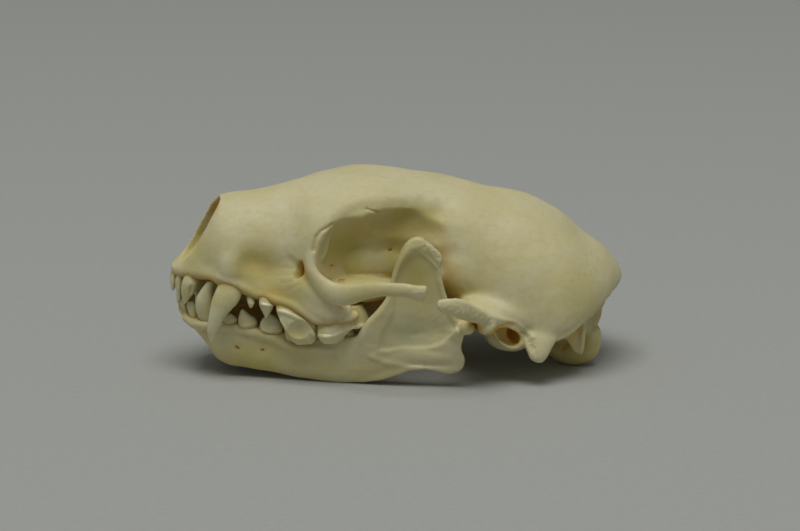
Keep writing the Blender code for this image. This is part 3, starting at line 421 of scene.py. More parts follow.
def ellipsoid(name, centre, radii, side=1, tilt=0, segments=40):
    """A ball stretched to three radii and tilted about Y, on the given side."""
    bm = bmesh.new()
    bmesh.ops.create_uvsphere(bm, u_segments=segments, v_segments=segments * 2 // 3, radius=1.0)
    place = Vector((centre[0], centre[1] * side, centre[2]))
    spin = Matrix.Rotation(math.radians(tilt), 4, "Y")
    shape = Matrix.Translation(place) @ spin @ Matrix.Diagonal((*radii, 1.0))
    bmesh.ops.transform(bm, matrix=shape, verts=bm.verts)
    return shop_object(name, bm)


def settle(thing):
    """Replaces the object's mesh by what its modifiers make of it."""
    graph = bpy.context.evaluated_depsgraph_get()
    made = bpy.data.meshes.new_from_object(thing.evaluated_get(graph))
    thing.modifiers.clear()
    thing.data = made
    return thing


def joined(name, pieces):
    """Several meshes as one object; the pieces are used up."""
    bm = bmesh.new()
    for piece in pieces:
        bm.from_mesh(piece.data)
        bpy.data.objects.remove(piece)
    return shop_object(name, bm, outward=False)


def blended(name, pieces, voxel, smoothing):
    """Pieces grown together into one skin, with the joints between them rounded."""
    made = joined(name, pieces)
    remesh = made.modifiers.new("grow together", "REMESH")
    remesh.mode = "VOXEL"
    remesh.voxel_size = voxel
    smooth = made.modifiers.new("round", "SMOOTH")
    smooth.factor = 0.5
    smooth.iterations = smoothing
    return settle(made)


def cut_by(thing, cutters):
    """Takes the cutters' shapes out of the object."""
    tool = bpy.data.collections.new("cutters of " + thing.name)
    SHOP.children.link(tool)
    for cutter in cutters:
        tool.objects.link(cutter)
    cut = thing.modifiers.new("cut", "BOOLEAN")
    cut.operation = "DIFFERENCE"
    cut.operand_type = "COLLECTION"
    cut.collection = tool
    cut.solver = "MANIFOLD"
    settle(thing)
    for cutter in cutters:
        bpy.data.objects.remove(cutter)
    bpy.data.collections.remove(tool)
    return thing


def vault_rings():
    """Cross-sections of the cranium from the incisors to the back of the nuchal crest."""
    top, bottom = curve_through(TOP), curve_through(BOTTOM)
    half, widest = curve_through(HALF_WIDTH), curve_through(WIDEST_AT)
    above, below = curve_through(SQUARENESS_ABOVE), curve_through(SQUARENESS_BELOW)
    crest = curve_through(CREST_HEIGHT)
    middle, reach = (SKULL_FRONT + SKULL_BACK) / 2, (SKULL_BACK - SKULL_FRONT) / 2
    rings = []
    for i in range(VAULT_RINGS):
        x = middle - reach * math.cos(math.pi * i / (VAULT_RINGS - 1))
        ring = []
        for k in range(VAULT_SIDES):
            turn = 2 * math.pi * k / VAULT_SIDES
            out, up = math.cos(turn), math.sin(turn)
            power = 2.0 / (above(x) if up >= 0 else below(x))
            y = (half(x) + SKIN) * math.copysign(abs(out) ** power, out)
            height = (top(x) + SKIN if up >= 0 else bottom(x)) - widest(x)
            z = widest(x) + height * abs(up) ** power
            if up > 0:
                z += crest(x) * math.exp(-((y / CREST_HALF_WIDTH) ** 2))
            ring.append((x, y, z))
        rings.append(ring)
    return rings


def tooth_row_bar():
    """The bone that holds the upper teeth, a U from one last molar round to the other."""
    half = [(-9.0, 12.4, 12.3, 1.9, 1.7), (-12.5, 12.9, 12.0, 2.3, 2.1), (-16.0, 12.2, 12.7, 2.4, 1.8),
            (-19.5, 10.9, 13.9, 2.0, 1.6), (-23.0, 9.4, 15.0, 1.6, 1.5), (-26.5, 8.5, 15.7, 1.3, 1.5),
            (-29.5, 8.1, 16.7, 1.5, 1.7), (-32.5, 6.2, 17.5, 1.3, 1.3), (-35.0, 4.2, 17.4, 1.1, 1.2),
            (-36.8, 2.2, 17.2, 1.1, 1.1)]
    front = [(-37.3, 0.0, 17.1, 1.1, 1.1)]
    return bar("tooth row", sided(half, 1) + front + sided(half[::-1], -1), steps=90)


def side_masses(side):
    """The broad forms of one side: squamosal root, mastoid, bulla and cheek."""
    squamosal = [(9.5, 20.0, 13.0, 1.2, 1.2), (11.5, 18.0, 11.9, 1.3, 2.0), (14.2, 15.8, 10.8, 1.6, 2.4),
                 (17.5, 14.4, 10.4, 1.3, 2.0)]
    mastoid = [(22.4, 13.6, 10.5, 3.6, 2.8), (21.7, 15.2, 8.4, 3.0, 2.1), (21.0, 16.7, 6.4, 2.1, 1.5)]
    maxilla = [(-27.0, 8.4, 17.6, 2.0, 1.2), (-23.5, 9.1, 17.2, 2.2, 1.3), (-20.5, 10.4, 16.6, 2.4, 1.4),
               (-17.5, 11.7, 15.8, 2.6, 1.5), (-14.5, 12.8, 14.4, 2.6, 1.6), (-11.8, 13.2, 13.6, 2.2, 1.6),
               (-10.2, 13.0, 13.2, 1.4, 1.4)]
    arch_root = [(8.2, 15.6, 13.0, 1.0, 2.2), (10.3, 15.0, 12.9, 1.6, 2.6), (13.5, 14.8, 12.4, 1.8, 2.6),
                 (17.0, 14.9, 11.5, 1.8, 2.2), (20.0, 15.1, 10.2, 1.8, 1.9)]
    return [
        bar("squamosal process", squamosal, side),
        bar("mastoid root", mastoid, side, across=(1, 0, 0)),
        bar("side of the maxilla", maxilla, side, steps=36),
        bar("root of the arch", arch_root, side, steps=30),
        ellipsoid("side of the braincase", (11.0, 8.8, 17.2), (7.6, 5.2, 6.0), side),
        ellipsoid("bulla", (17.0, 11.2, 8.2), (4.7, 4.2, 3.9), side),
        ellipsoid("canine root", (-28.4, 8.7, 18.4), (2.3, 1.6, 3.4), side),
        ellipsoid("rim of the ear", (16.4, 15.0, 8.5), (2.2, 2.6, 2.3), side),
    ]


def side_bars(side):
    """The slender forms of one side, added after the orbit is cut."""
    jugal = [(-15.4, 10.9, 24.8, 0.7, 0.8), (-15.9, 12.1, 22.0, 0.8, 1.0), (-15.8, 12.9, 19.4, 0.85, 1.2),
             (-14.5, 13.6, 17.1, 1.15, 1.8), (-12.0, 15.1, 15.8, 1.25, 1.9), (-9.8, 17.0, 16.2, 1.0, 1.7),
             (-7.2, 19.0, 17.2, 0.85, 1.35), (-4.2, 20.6, 17.85, 0.8, 1.15), (-1.5, 21.5, 17.85, 0.8, 1.15),
             (0.2, 21.9, 17.5, 0.85, 1.3), (1.0, 22.0, 17.35, 0.9, 1.5), (1.8, 22.0, 17.2, 0.9, 1.65)]
    squamosal = [(3.7, 22.0, 15.3, 0.9, 0.75), (5.4, 22.0, 15.15, 1.35, 0.8), (7.2, 21.6, 14.5, 1.55, 0.95),
                 (9.2, 20.2, 13.3, 1.4, 1.2), (11.8, 18.0, 11.9, 1.2, 1.4)]
    nuchal = [(36.2, 0.0, 14.2, 0.5, 0.3), (35.5, 4.0, 14.0, 0.8, 0.35), (34.2, 7.2, 13.4, 0.9, 0.35),
              (31.7, 10.9, 12.3, 0.9, 0.35), (29.2, 13.4, 11.1, 0.9, 0.35), (27.2, 14.9, 9.4, 0.9, 0.4),
              (25.3, 15.8, 8.3, 0.8, 0.45), (23.5, 16.0, 7.6, 0.7, 0.5)]
    mastoid = [(21.8, 14.6, 11.0, 2.8, 1.2), (21.5, 15.6, 9.0, 3.0, 1.3), (20.9, 16.9, 7.0, 2.5, 1.2),
               (20.6, 17.7, 5.4, 1.75, 1.0), (20.2, 18.0, 4.3, 1.1, 0.8)]
    ear = [(14.2, 15.9, 9.6, 0.45, 0.7), (14.5, 16.2, 8.3, 0.5, 0.7), (15.6, 16.3, 7.1, 0.5, 0.7),
           (16.9, 16.3, 6.5, 0.5, 0.7), (18.0, 16.2, 6.9, 0.45, 0.7), (18.4, 15.9, 7.9, 0.4, 0.6)]
    paroccipital = [(27.9, 10.8, 10.4, 1.9, 0.7), (27.6, 11.1, 8.4, 1.8, 0.6), (27.7, 11.3, 6.6, 1.5, 0.45),
                    (28.0, 11.5, 5.0, 1.0, 0.4), (28.4, 11.6, 3.7, 0.5, 0.35)]
    paroccipital_edge = [(29.3, 11.3, 10.4, 0.5, 0.8), (29.1, 11.6, 8.0, 0.4, 0.7),
                         (28.9, 11.8, 5.5, 0.4, 0.6), (28.7, 11.8, 3.5, 0.35, 0.4)]
    condyle = [(30.9, 7.1, 7.0, 1.8, 1.8), (31.1, 6.8, 4.6, 1.9, 1.9), (30.5, 6.2, 2.8, 2.1, 2.1),
               (28.7, 5.4, 2.1, 2.2, 2.1), (26.4, 4.4, 2.4, 1.9, 1.9), (24.5, 3.6, 3.6, 1.4, 1.4)]
    pterygoid = [(-7.5, 5.2, 12.4, 1.6, 0.7), (-3.0, 4.1, 10.9, 2.0, 0.6), (2.0, 4.0, 9.0, 2.2, 0.6),
                 (6.5, 4.4, 7.4, 1.8, 0.7), (9.5, 5.6, 7.4, 1.2, 0.9)]
    postglenoid = [(11.9, 19.2, 11.1, 1.2, 1.4), (12.2, 17.8, 10.7, 1.7, 1.7), (12.3, 15.8, 10.4, 1.9, 1.8),
                   (12.4, 12.8, 9.9, 1.9, 1.8)]
    gum = [(-31.0, 8.2, 17.7, 0.9, 1.0), (-29.0, 8.9, 17.1, 1.0, 1.3), (-26.9, 9.1, 16.0, 1.0, 1.2),
           (-25.0, 9.3, 15.0, 1.0, 1.1), (-22.8, 10.0, 14.6, 1.0, 1.2), (-20.8, 11.0, 14.0, 1.0, 1.3),
           (-18.8, 11.9, 13.5, 1.0, 1.3), (-16.7, 12.7, 12.3, 0.9, 1.2), (-15.0, 13.2, 11.2, 0.9, 1.15),
           (-12.2, 13.4, 11.0, 0.9, 1.15), (-9.6, 13.1, 11.3, 0.9, 1.15), (-8.4, 12.3, 12.0, 0.8, 1.1)]
    front_gum = [(-33.9, 5.4, 17.4, 0.9, 0.9), (-35.2, 4.0, 17.2, 0.9, 1.0), (-36.6, 2.3, 16.9, 0.9, 0.9),
                 (-37.2, 0.4, 16.8, 0.9, 0.9)]
    lacrimal = [(-11.6, 9.9, 26.6, 0.3, 0.3), (-12.4, 10.5, 25.2, 0.35, 0.3), (-12.9, 10.9, 23.5, 0.35, 0.3),
                (-13.3, 11.1, 21.9, 0.35, 0.3), (-14.0, 11.5, 20.4, 0.3, 0.3)]
    outward = (0.45, 0.62 * side, -0.64)
    return [
        bar("jugal", jugal, side, across=(0.8, -0.6 * side, 0), steps=60, end=0.9),
        bar("squamosal tip", squamosal, side, end=0.85),
        bar("nuchal crest", nuchal, side, across=outward, steps=60),
        bar("mastoid process", mastoid, side, across=(1, 0, 0), end=0.6),
        bar("lip of the ear", ear, side, across=(0, 1, 0), steps=36),
        bar("paroccipital process", paroccipital, side, across=(1, 0, 0)),
        bar("edge of the paroccipital process", paroccipital_edge, side, across=(1, 0, 0)),
        bar("condyle", condyle, side, across=(0, 1, 0), steps=36, sides=24, end=0.7),
        bar("pterygoid", pterygoid, side, steps=30),
        bar("behind the jaw joint", postglenoid, side),
        bar("gum", gum, side, steps=60),
        bar("front gum", front_gum, side),
        ellipsoid("floor of the orbit", (-7.8, 8.0, 15.1), (7.8, 4.7, 2.3), side, tilt=2),
        ellipsoid("foot of the orbit's wall", (-5.2, 4.5, 18.4), (10.2, 5.1, 5.2), side),
        bar("lacrimal edge", lacrimal, side, steps=30),
    ]


def nose_cutters():
    """What lies in front of the nose's rim, and the cavity behind it."""
    ahead = [(x, z) for x, _, z in NASAL_RIM] + [(-37.6, 17.8), (-44.0, 18.5), (-44.0, 34.0), (-31.0, 33.0)]
    cheeks = [[(x, y, z) for x, z in ahead] for y in (-9.0, 9.0)]
    middle_z = (NASAL_RIM[0][2] + NASAL_RIM[-1][2]) / 2
    middle_x = (NASAL_RIM[0][0] + NASAL_RIM[-1][0]) / 2
    loop = points_along(NASAL_RIM, 24)
    loop += [[x, -y, z] for x, y, z in loop[::-1]]
    rings = []
    for along, up, wide, tall in NASAL_DEPTHS:
        rings.append([(middle_x + (x - middle_x) * tall + along, y * wide,
                       middle_z + (z - middle_z) * tall + up) for x, y, z in loop])
    return [loft("ahead of the nose", cheeks), loft("nasal cavity", rings)]


def cranium_cutters():
    """Nose, ears, canals and the hollow for the spinal cord."""
    cutters = nose_cutters() + [ellipsoid("foramen magnum", *FORAMEN_MAGNUM, tilt=FORAMEN_TILT)]
    socket = tuple(r + JOINT_GAP for r in JAW_CONDYLE[1])
    behind_ramus = [(8.0, 16.9, 10.6, 1.6, 2.0), (6.2, 16.6, 14.5, 1.8, 2.0), (5.2, 16.3, 18.0, 1.8, 2.0)]
    canal = [(-19.6, 12.7, 19.3, 1.2, 0.35), (-18.3, 12.2, 19.2, 1.5, 0.5), (-17.1, 11.7, 19.1, 1.7, 0.6),
             (-16.0, 11.2, 19.0, 1.7, 0.6), (-15.2, 10.9, 18.8, 1.2, 0.5)]
    for side in SIDES.values():
        cutters += [
            bar("room for the lower jaw", behind_ramus, side, across=(1, 0, 0)),
            bar("infraorbital canal", canal, side, steps=36),
            ellipsoid("ear funnel", *EAR_FUNNEL, side, tilt=EAR_TILT),
            ellipsoid("ear bore", *EAR_BORE, side, tilt=BORE_TILT),
            ellipsoid("jaw socket", JAW_CONDYLE[0], socket, side),
            ellipsoid("behind the mastoid", *MASTOID_RECESS, side),
        ]
        cutters += [ellipsoid("foramen", *hole, side, segments=24) for hole in BASE_FORAMINA]
    return cutters


def small_pits(thing, pits, sides):
    """Bores small pits where a look from the side meets the bone, with painted shade inside."""
    tree = BVHTree.FromObject(thing, bpy.context.evaluated_depsgraph_get())
    cutters = []
    for side in sides:
        for x, z, far, radii, tilt in pits:
            found = tree.ray_cast(Vector((x, far * side, z)), Vector((0, -side, 0)))[0]
            cutter = ellipsoid("pit", (x, found.y * side, z), radii, side, tilt, segments=20)
            for name in MARKS:
                # The cutter carries painted shade onto the walls it leaves
                amount = PIT_PAINTED_SHADE if name == "stain" else 0.0
                write_mark(cutter.data, name, np.full(len(cutter.data.vertices), amount))
            cutters.append(cutter)
    return cut_by(thing, cutters)


def cranium_form():
    """The cranium's bone: broad masses, hollows cut in them, then slender bars and openings."""
    masses = [loft("vault", vault_rings()), tooth_row_bar()]
    for side in SIDES.values():
        masses += side_masses(side)
    cranium = blended("cranium form", masses, MASS_VOXEL, MASS_SMOOTHING)
    under_crest = [(34.8, 4.5, 10.4, 1.5, 1.6), (32.0, 9.8, 8.6, 1.8, 2.2), (29.8, 12.6, 7.2, 2.0, 2.2),
                   (27.6, 14.8, 5.8, 2.0, 2.2), (26.2, 16.4, 4.8, 1.6, 1.8)]
    hollows = [ellipsoid("choana", *CHOANA)]
    for side in SIDES.values():
        hollows.append(bar("under the nuchal crest", under_crest, side, steps=36))
        hollows.append(ellipsoid("canine notch", *CANINE_NOTCH, side))
        for shape in (EYE_SOCKET, TEMPORAL_HOLLOW, BROW_HOLLOW):
            hollows.append(ellipsoid("hollow", *shape, side, segments=72))
    cut_by(cranium, hollows)
    cranium = blended("cranium form", [cranium], HOLLOW_VOXEL, HOLLOW_SMOOTHING)
    bars = [cranium]
    for side in SIDES.values():
        bars += side_bars(side)
    cranium = blended("cranium form", bars, BONE_VOXEL, BAR_SMOOTHING)
    cut_by(cranium, cranium_cutters())
    return blended("cranium form", [cranium], BONE_VOXEL, EDGE_SMOOTHING)


def body_rings(side):
    """Cross-sections of the tooth-bearing part of one lower jaw."""
    top, bottom = curve_through(BODY_TOP), curve_through(BODY_BOTTOM)
    outer, inner = curve_through(BODY_OUTER), curve_through(BODY_INNER)
    rings = []
    for x in np.linspace(BODY_TOP[0][0], BODY_TOP[-1][0], BODY_RINGS):
        y, z = (outer(x) + inner(x)) / 2, (top(x) + bottom(x)) / 2
        wide, tall = (outer(x) - inner(x)) / 2, (top(x) - bottom(x)) / 2
        ring = []
        for k in range(BODY_SIDES):
            turn = 2 * math.pi * k / BODY_SIDES
            out = math.copysign(abs(math.cos(turn)) ** BODY_ROUNDING, math.cos(turn))
            up = math.copysign(abs(math.sin(turn)) ** BODY_ROUNDING, math.sin(turn))
            ring.append((x, (y + wide * out) * side, z + tall * up))
        rings.append(ring)
    return rings


def ramus(side):
    """The upright plate of one lower jaw, from its outline in the side view."""
    shape = bpy.data.curves.new("ramus", "CURVE")
    shape.dimensions = "2D"
    shape.fill_mode = "BOTH"
    shape.extrude = RAMUS_HALF_THICKNESS - RAMUS_EDGE
    shape.bevel_depth = RAMUS_EDGE
    shape.offset = -RAMUS_EDGE
    shape.bevel_resolution = 2
    shape.resolution_u = 12
    line = shape.splines.new("BEZIER")
    line.bezier_points.add(len(RAMUS_OUTLINE) - 1)
    line.use_cyclic_u = True
    for point, (x, z) in zip(line.bezier_points, RAMUS_OUTLINE):
        point.co = (x, z, 0)
        point.handle_left_type = point.handle_right_type = "AUTO"
    flat = bpy.data.objects.new("ramus outline", shape)
    SHOP.objects.link(flat)
    graph = bpy.context.evaluated_depsgraph_get()
    data = bpy.data.meshes.new_from_object(flat.evaluated_get(graph))
    bpy.data.objects.remove(flat)
    centre = curve_through(RAMUS_CENTRE)
    bm = bmesh.new()
    bm.from_mesh(data)
    bmesh.ops.remove_doubles(bm, verts=bm.verts, dist=0.01)
    bmesh.ops.triangulate(bm, faces=bm.faces)
    for vertex in bm.verts:
        x, z, depth = vertex.co
        vertex.co = (x, (centre(x) + depth) * side, z)
    return shop_object("ramus", bm)


def jaw_form(side):
    """The bone of one lower jaw."""
    gum = [(-36.2, 2.4, 9.6, 0.6, 0.8), (-34.4, 4.6, 8.8, 0.9, 1.0), (-32.6, 6.1, 8.9, 1.0, 1.15),
           (-30.8, 6.3, 8.8, 0.9, 1.1), (-28.7, 6.9, 8.6, 0.9, 1.0), (-26.0, 7.8, 8.1, 0.9, 1.0),
           (-22.3, 9.1, 7.4, 0.9, 1.05), (-19.0, 10.2, 6.0, 0.9, 1.1), (-15.0, 11.3, 5.7, 0.9, 1.1),
           (-11.0, 12.2, 5.9, 0.9, 1.0), (-8.0, 12.6, 7.4, 0.8, 0.9)]
    front_edge = [(-8.0, 12.6, 6.3, 1.2, 1.3), (-6.0, 13.3, 10.4, 0.9, 1.0), (-4.6, 13.9, 12.2, 0.8, 1.0),
                  (-3.3, 14.4, 14.4, 0.6, 0.95), (-2.3, 14.8, 18.2, 0.55, 0.9),
                  (-1.2, 15.2, 21.4, 0.65, 0.9), (0.2, 15.5, 23.3, 0.8, 0.9),
                  (1.6, 15.7, 23.8, 0.85, 0.9), (3.9, 15.9, 22.2, 0.8, 0.9)]
    lower_edge = [(-9.0, 12.2, 2.8, 1.9, 1.6), (-4.0, 13.7, 3.4, 2.2, 1.2), (1.0, 15.1, 5.0, 1.7, 1.05),
                  (5.0, 16.0, 5.0, 1.6, 1.0), (7.2, 16.5, 4.9, 1.5, 0.9)]
    neck = [(3.0, 15.8, 7.6, 1.0, 0.6), (5.5, 16.2, 8.6, 1.4, 0.8), (8.0, 16.7, 9.9, 1.2, 1.8)]
    pieces = [
        loft("body", body_rings(side)),
        ramus(side),
        bar("gum", gum, side, steps=60),
        bar("front edge", front_edge, side, across=(1, 0, -0.4), steps=48),
        bar("lower edge", lower_edge, side, steps=36),
        bar("neck", neck, side),
        ellipsoid("jaw condyle", *JAW_CONDYLE, side),
    ]
    return blended("jaw form", pieces, BONE_VOXEL, BAR_SMOOTHING + EDGE_SMOOTHING)


def crown(name, levels, side):
    """A smooth stack of ovals through a tooth's levels, from its root to its tip."""
    heights = [abs(level[0] - levels[0][0]) for level in levels]
    columns = [curve_through(list(zip(heights, column))) for column in zip(*levels)]
    rings = []
    for place in np.linspace(0.0, heights[-1], TOOTH_RINGS):
        z, front, back, y, half_width = [column(place) for column in columns]
        middle, half_length = (front + back) / 2, (back - front) / 2
        ring = []
        for k in range(TOOTH_SIDES):
            turn = 2 * math.pi * k / TOOTH_SIDES
            ring.append((middle + half_length * math.cos(turn), (y + half_width * math.sin(turn)) * side, z))
        rings.append(ring)
    return loft(name, rings)


def tooth(name, levels, side, lobes, ridges, cusps, hollows):
    """One tooth: its crown with lobes, ridges and cusps grown on it and hollows taken out."""
    pieces = [crown(name, rows, side) for rows in [levels, *lobes.get(name, [])]]
    for rows in ridges.get(name, []):
        pieces.append(bar(name, [(*row, row[3]) for row in rows], side, steps=20, sides=12))
    pieces += [ellipsoid(name, *cusp, side, segments=24) for cusp in cusps.get(name, [])]
    made = blended(name, pieces, TOOTH_VOXEL, TOOTH_SMOOTHING)
    cutters = [ellipsoid(name, *hollow, side, segments=24) for hollow in hollows.get(name, [])]
    if not cutters:
        return made
    cut_by(made, cutters)
    return blended(name, [made], TOOTH_VOXEL, TOOTH_SMOOTHING)


def rows_of(things, field):
    """A mesh collection's vectors as rows of numbers."""
    flat = np.empty(len(things) * 3, np.float32)
    things.foreach_get(field, flat)
    return flat.reshape(-1, 3).astype(float)


def write_mark(mesh, name, values):
    """Keeps one number for each vertex under a name that materials read."""
    mark = mesh.attributes.new(name, "FLOAT", "POINT")
    mark.data.foreach_set("value", values.astype(np.float32))


def search_tree(points):
    """Finds the nearest of many points quickly."""
    tree = KDTree(len(points))
    for index, point in enumerate(points):
        tree.insert(point, index)
    tree.balance()
    return tree


def in_box(points, others, margin):
    """Which points lie in the box around the others, widened by a margin."""
    low, high = others.min(0) - margin, others.max(0) + margin
    return ((points > low) & (points < high)).all(1)


def ball_gap(places, centre, radii, side):
    """How far each place lies from the middle of a ball, in its radii."""
    return np.linalg.norm((places * (1, side, 1) - centre) / radii, axis=1)


def fading(gap, width):
    """1 where there is no gap, falling off over width."""
    return math.exp(-((gap / width) ** 2))


def tooth_row(name, rows, side, extras):
    """The teeth of one side of one jaw as one piece."""
    return joined(name, [tooth(kind, levels, side, *extras) for kind, levels in rows.items()])


def distance_to(points, path):
    """How far each point lies from a line through the path's corners."""
    best = np.full(len(points), np.inf)
    for start, stop in zip(path, path[1:]):
        start, stop = np.array(start, float), np.array(stop, float)
        run = stop - start
        along = np.clip((points - start) @ run / (run @ run), 0.0, 1.0)
        gap = np.linalg.norm(points - start - along[:, None] * run, axis=1)
        best = np.minimum(best, gap)
    return best


class Surface:
    """A bone's skin as rows of places and directions, raised, carved and marked.

    A path is drawn in a view: "side" takes (x, z), "top" (x, y) and "back" (y, z). It reaches
    the skin whose third coordinate lies in span. Y counts outwards on the given side.
    """

    VIEWS = {"side": (0, 2, 1), "top": (0, 1, 2), "back": (1, 2, 0)}

    def __init__(self, thing):
        self.mesh = thing.data
        self.places = rows_of(self.mesh.vertices, "co")
        self.normals = rows_of(self.mesh.vertex_normals, "vector")
        self.lift = np.zeros(len(self.places))
        self.marks = {name: np.zeros(len(self.places)) for name in MARKS}

    def near(self, view, path, width, span, side):
        """Which vertices lie near a path, and how strongly: 1 on it, falling off over width."""
        across, up, deep = self.VIEWS[view]
        places = self.places * (1, side, 1)
        flat = places[:, (across, up)]
        path = np.array(path, float)
        inside = in_box(flat, path, PATH_REACH * width)
        inside &= (places[:, deep] > span[0]) & (places[:, deep] < span[1])
        chosen = np.flatnonzero(inside)
        line = path if len(path) > 1 else np.repeat(path, 2, 0) + [[0, 0], [1e-6, 0]]
        gap = distance_to(flat[chosen], line)
        return chosen, np.exp(-((gap / width) ** 2))

    def carve(self, view, path, width, height, span, side):
        """Raises the skin along a path, or cuts a groove where height is negative."""
        chosen, strength = self.near(view, path, width, span, side)
        self.lift[chosen] += height * strength

    def dish(self, corners, depth, soft, span, side):
        """Lowers the skin inside an outline of the side view, less within soft of its edge."""
        places = self.places * (1, side, 1)
        x, y, z = places.T
        ring = corners + corners[:1]
        inside = np.zeros(len(x), bool)
        for (x0, z0), (x1, z1) in zip(ring, ring[1:]):
            level = z1 - z0 if z1 != z0 else 1.0
            inside ^= ((z0 > z) != (z1 > z)) & (x < (x1 - x0) * (z - z0) / level + x0)
        chosen = np.flatnonzero(inside & (y > span[0]) & (y < span[1]))
        share = np.clip(distance_to(places[chosen][:, (0, 2)], ring) / soft, 0.0, 1.0)
        self.lift[chosen] -= depth * share * share * (3 - 2 * share)

    def mark(self, name, path, width, span, amount, side):
        """Marks the skin along a path of the side view."""
        chosen, strength = self.near("side", path, width, span, side)
        kept = self.marks[name]
        kept[chosen] = np.maximum(kept[chosen], amount * strength)

    def mark_ball(self, name, centre, radii, amount, side):
        """Marks the skin inside a soft-edged ball."""
        gap = ball_gap(self.places, centre, radii, side)
        strength = amount * np.clip(BALL_REACH - gap, 0.0, 1.0)
        self.marks[name] = np.maximum(self.marks[name], strength)

    def weather(self, layers):
        """Unevenness all over, in layers of height and grain size."""
        everywhere = np.arange(len(self.places))
        for amplitude, grain in layers:
            self.roughen(everywhere, np.ones(len(everywhere)), amplitude, grain)

    def crumble(self, path, width, span, side, amplitude, grain):
        """Rough, chalky bone along a path of the side view."""
        chosen, strength = self.near("side", path, width, span, side)
        self.roughen(chosen, strength, amplitude, grain)
        self.mark("chalk", path, width, span, 1.0, side)

    def roughen(self, chosen, strength, amplitude, grain):
        """Unevenness of a given grain size, as strong as the strength of each vertex."""
        for index, share in zip(chosen, strength):
            if share > ROUGH_FROM:
                place = Vector(self.places[index]) / grain
                self.lift[index] += amplitude * share * noise.noise(place)

    def finish(self):
        """Moves the vertices and writes the marks to the mesh."""
        moved = self.places + self.normals * self.lift[:, None]
        self.mesh.vertices.foreach_set("co", moved.astype(np.float32).ravel())
        for name, values in self.marks.items():
            write_mark(self.mesh, name, np.clip(values, 0.0, 1.0))
        self.mesh.update()


def cranium_grooves():
    """Ridges and grooves of the cranium: view, path, width, height and the span of skin reached."""
    carved = [
        ("side", [(-12.2, 26.7), (-14.2, 25.7), (-15.0, 24.7), (-15.3, 23.6), (-15.4, 22.6)],
         0.28, -0.35, (10.2, 14)),
        ("side", [(-6.6, 29.0), (-5.5, 28.5), (-4.6, 28.1)], 0.17, -0.25, (8, 14)),
        ("side", [(-5.6, 28.1), (-4.8, 27.75)], 0.2, 0.15, (8, 14)),
        ("side", [(6.5, 16.4), (8.4, 15.3), (11.9, 13.0), (14.5, 11.6), (17.0, 10.9), (20.0, 8.2)],
         0.3, 0.16, (14, 24)),
        ("side", [(0.0, 27.2), (3.0, 27.6), (5.4, 27.8)], 1.8, -0.6, (5, 14)),
        ("side", [(-25.2, 20.0), (-22.6, 18.2)], 2.2, -0.8, (8, 14)),
        ("side", [(-18.9, 20.6), (-18.0, 19.8)], 0.7, -0.25, (9, 14)),
        ("side", [(-11.5, 26.9), (-9.8, 28.0), (-7.7, 29.0), (-4.3, 29.3), (0.0, 29.2)], 0.9, -0.22, (8, 14)),
        ("side", [(35.0, 12.6), (31.9, 10.9), (29.7, 9.7), (27.9, 8.0), (26.5, 7.2), (25.3, 6.6)],
         0.5, -0.45, (4, 18)),
        ("side", [(-9.5, 15.6), (-5.0, 16.6)], 0.35, 0.14, (7, 12)),
        ("side", [(31.5, 10.6), (32.0, 11.3), (33.5, 11.4), (35.4, 11.4)], 0.22, -0.12, (0, 12)),
        ("top", [(-29.5, 0.0), (-8.0, 0.0)], 0.22, -0.05, (24, 40)),
        ("back", [(0.0, 12.0), (0.0, 8.0)], 0.7, 0.3, (30, 40)),
    ]
    for start, end, depth in [((-18.4, 19.3), (-20.4, 19.4), 0.04), ((-18.4, 18.4), (-21.0, 18.2), 0.05),
                              ((-18.2, 17.6), (-20.6, 17.0), 0.06), ((-18.0, 17.0), (-19.4, 15.9), 0.06)]:
        carved.append(("side", [start, end], 0.2, -depth, (9, 24)))
    for top in (15.9, 16.5, 17.3):
        carved.append(("side", [(-10.4, top), (-6.0, top + 0.5), (-3.0, top + 0.3)], 0.16, -0.06, (6, 12)))
    for x, z in [(-13.9, 11.6), (-12.0, 11.4), (-10.2, 11.8)]:
        carved.append(("side", [(x, z - 1.3), (x + 0.2, z + 1.6)], 0.3, -0.14, (11, 17)))
    return carved


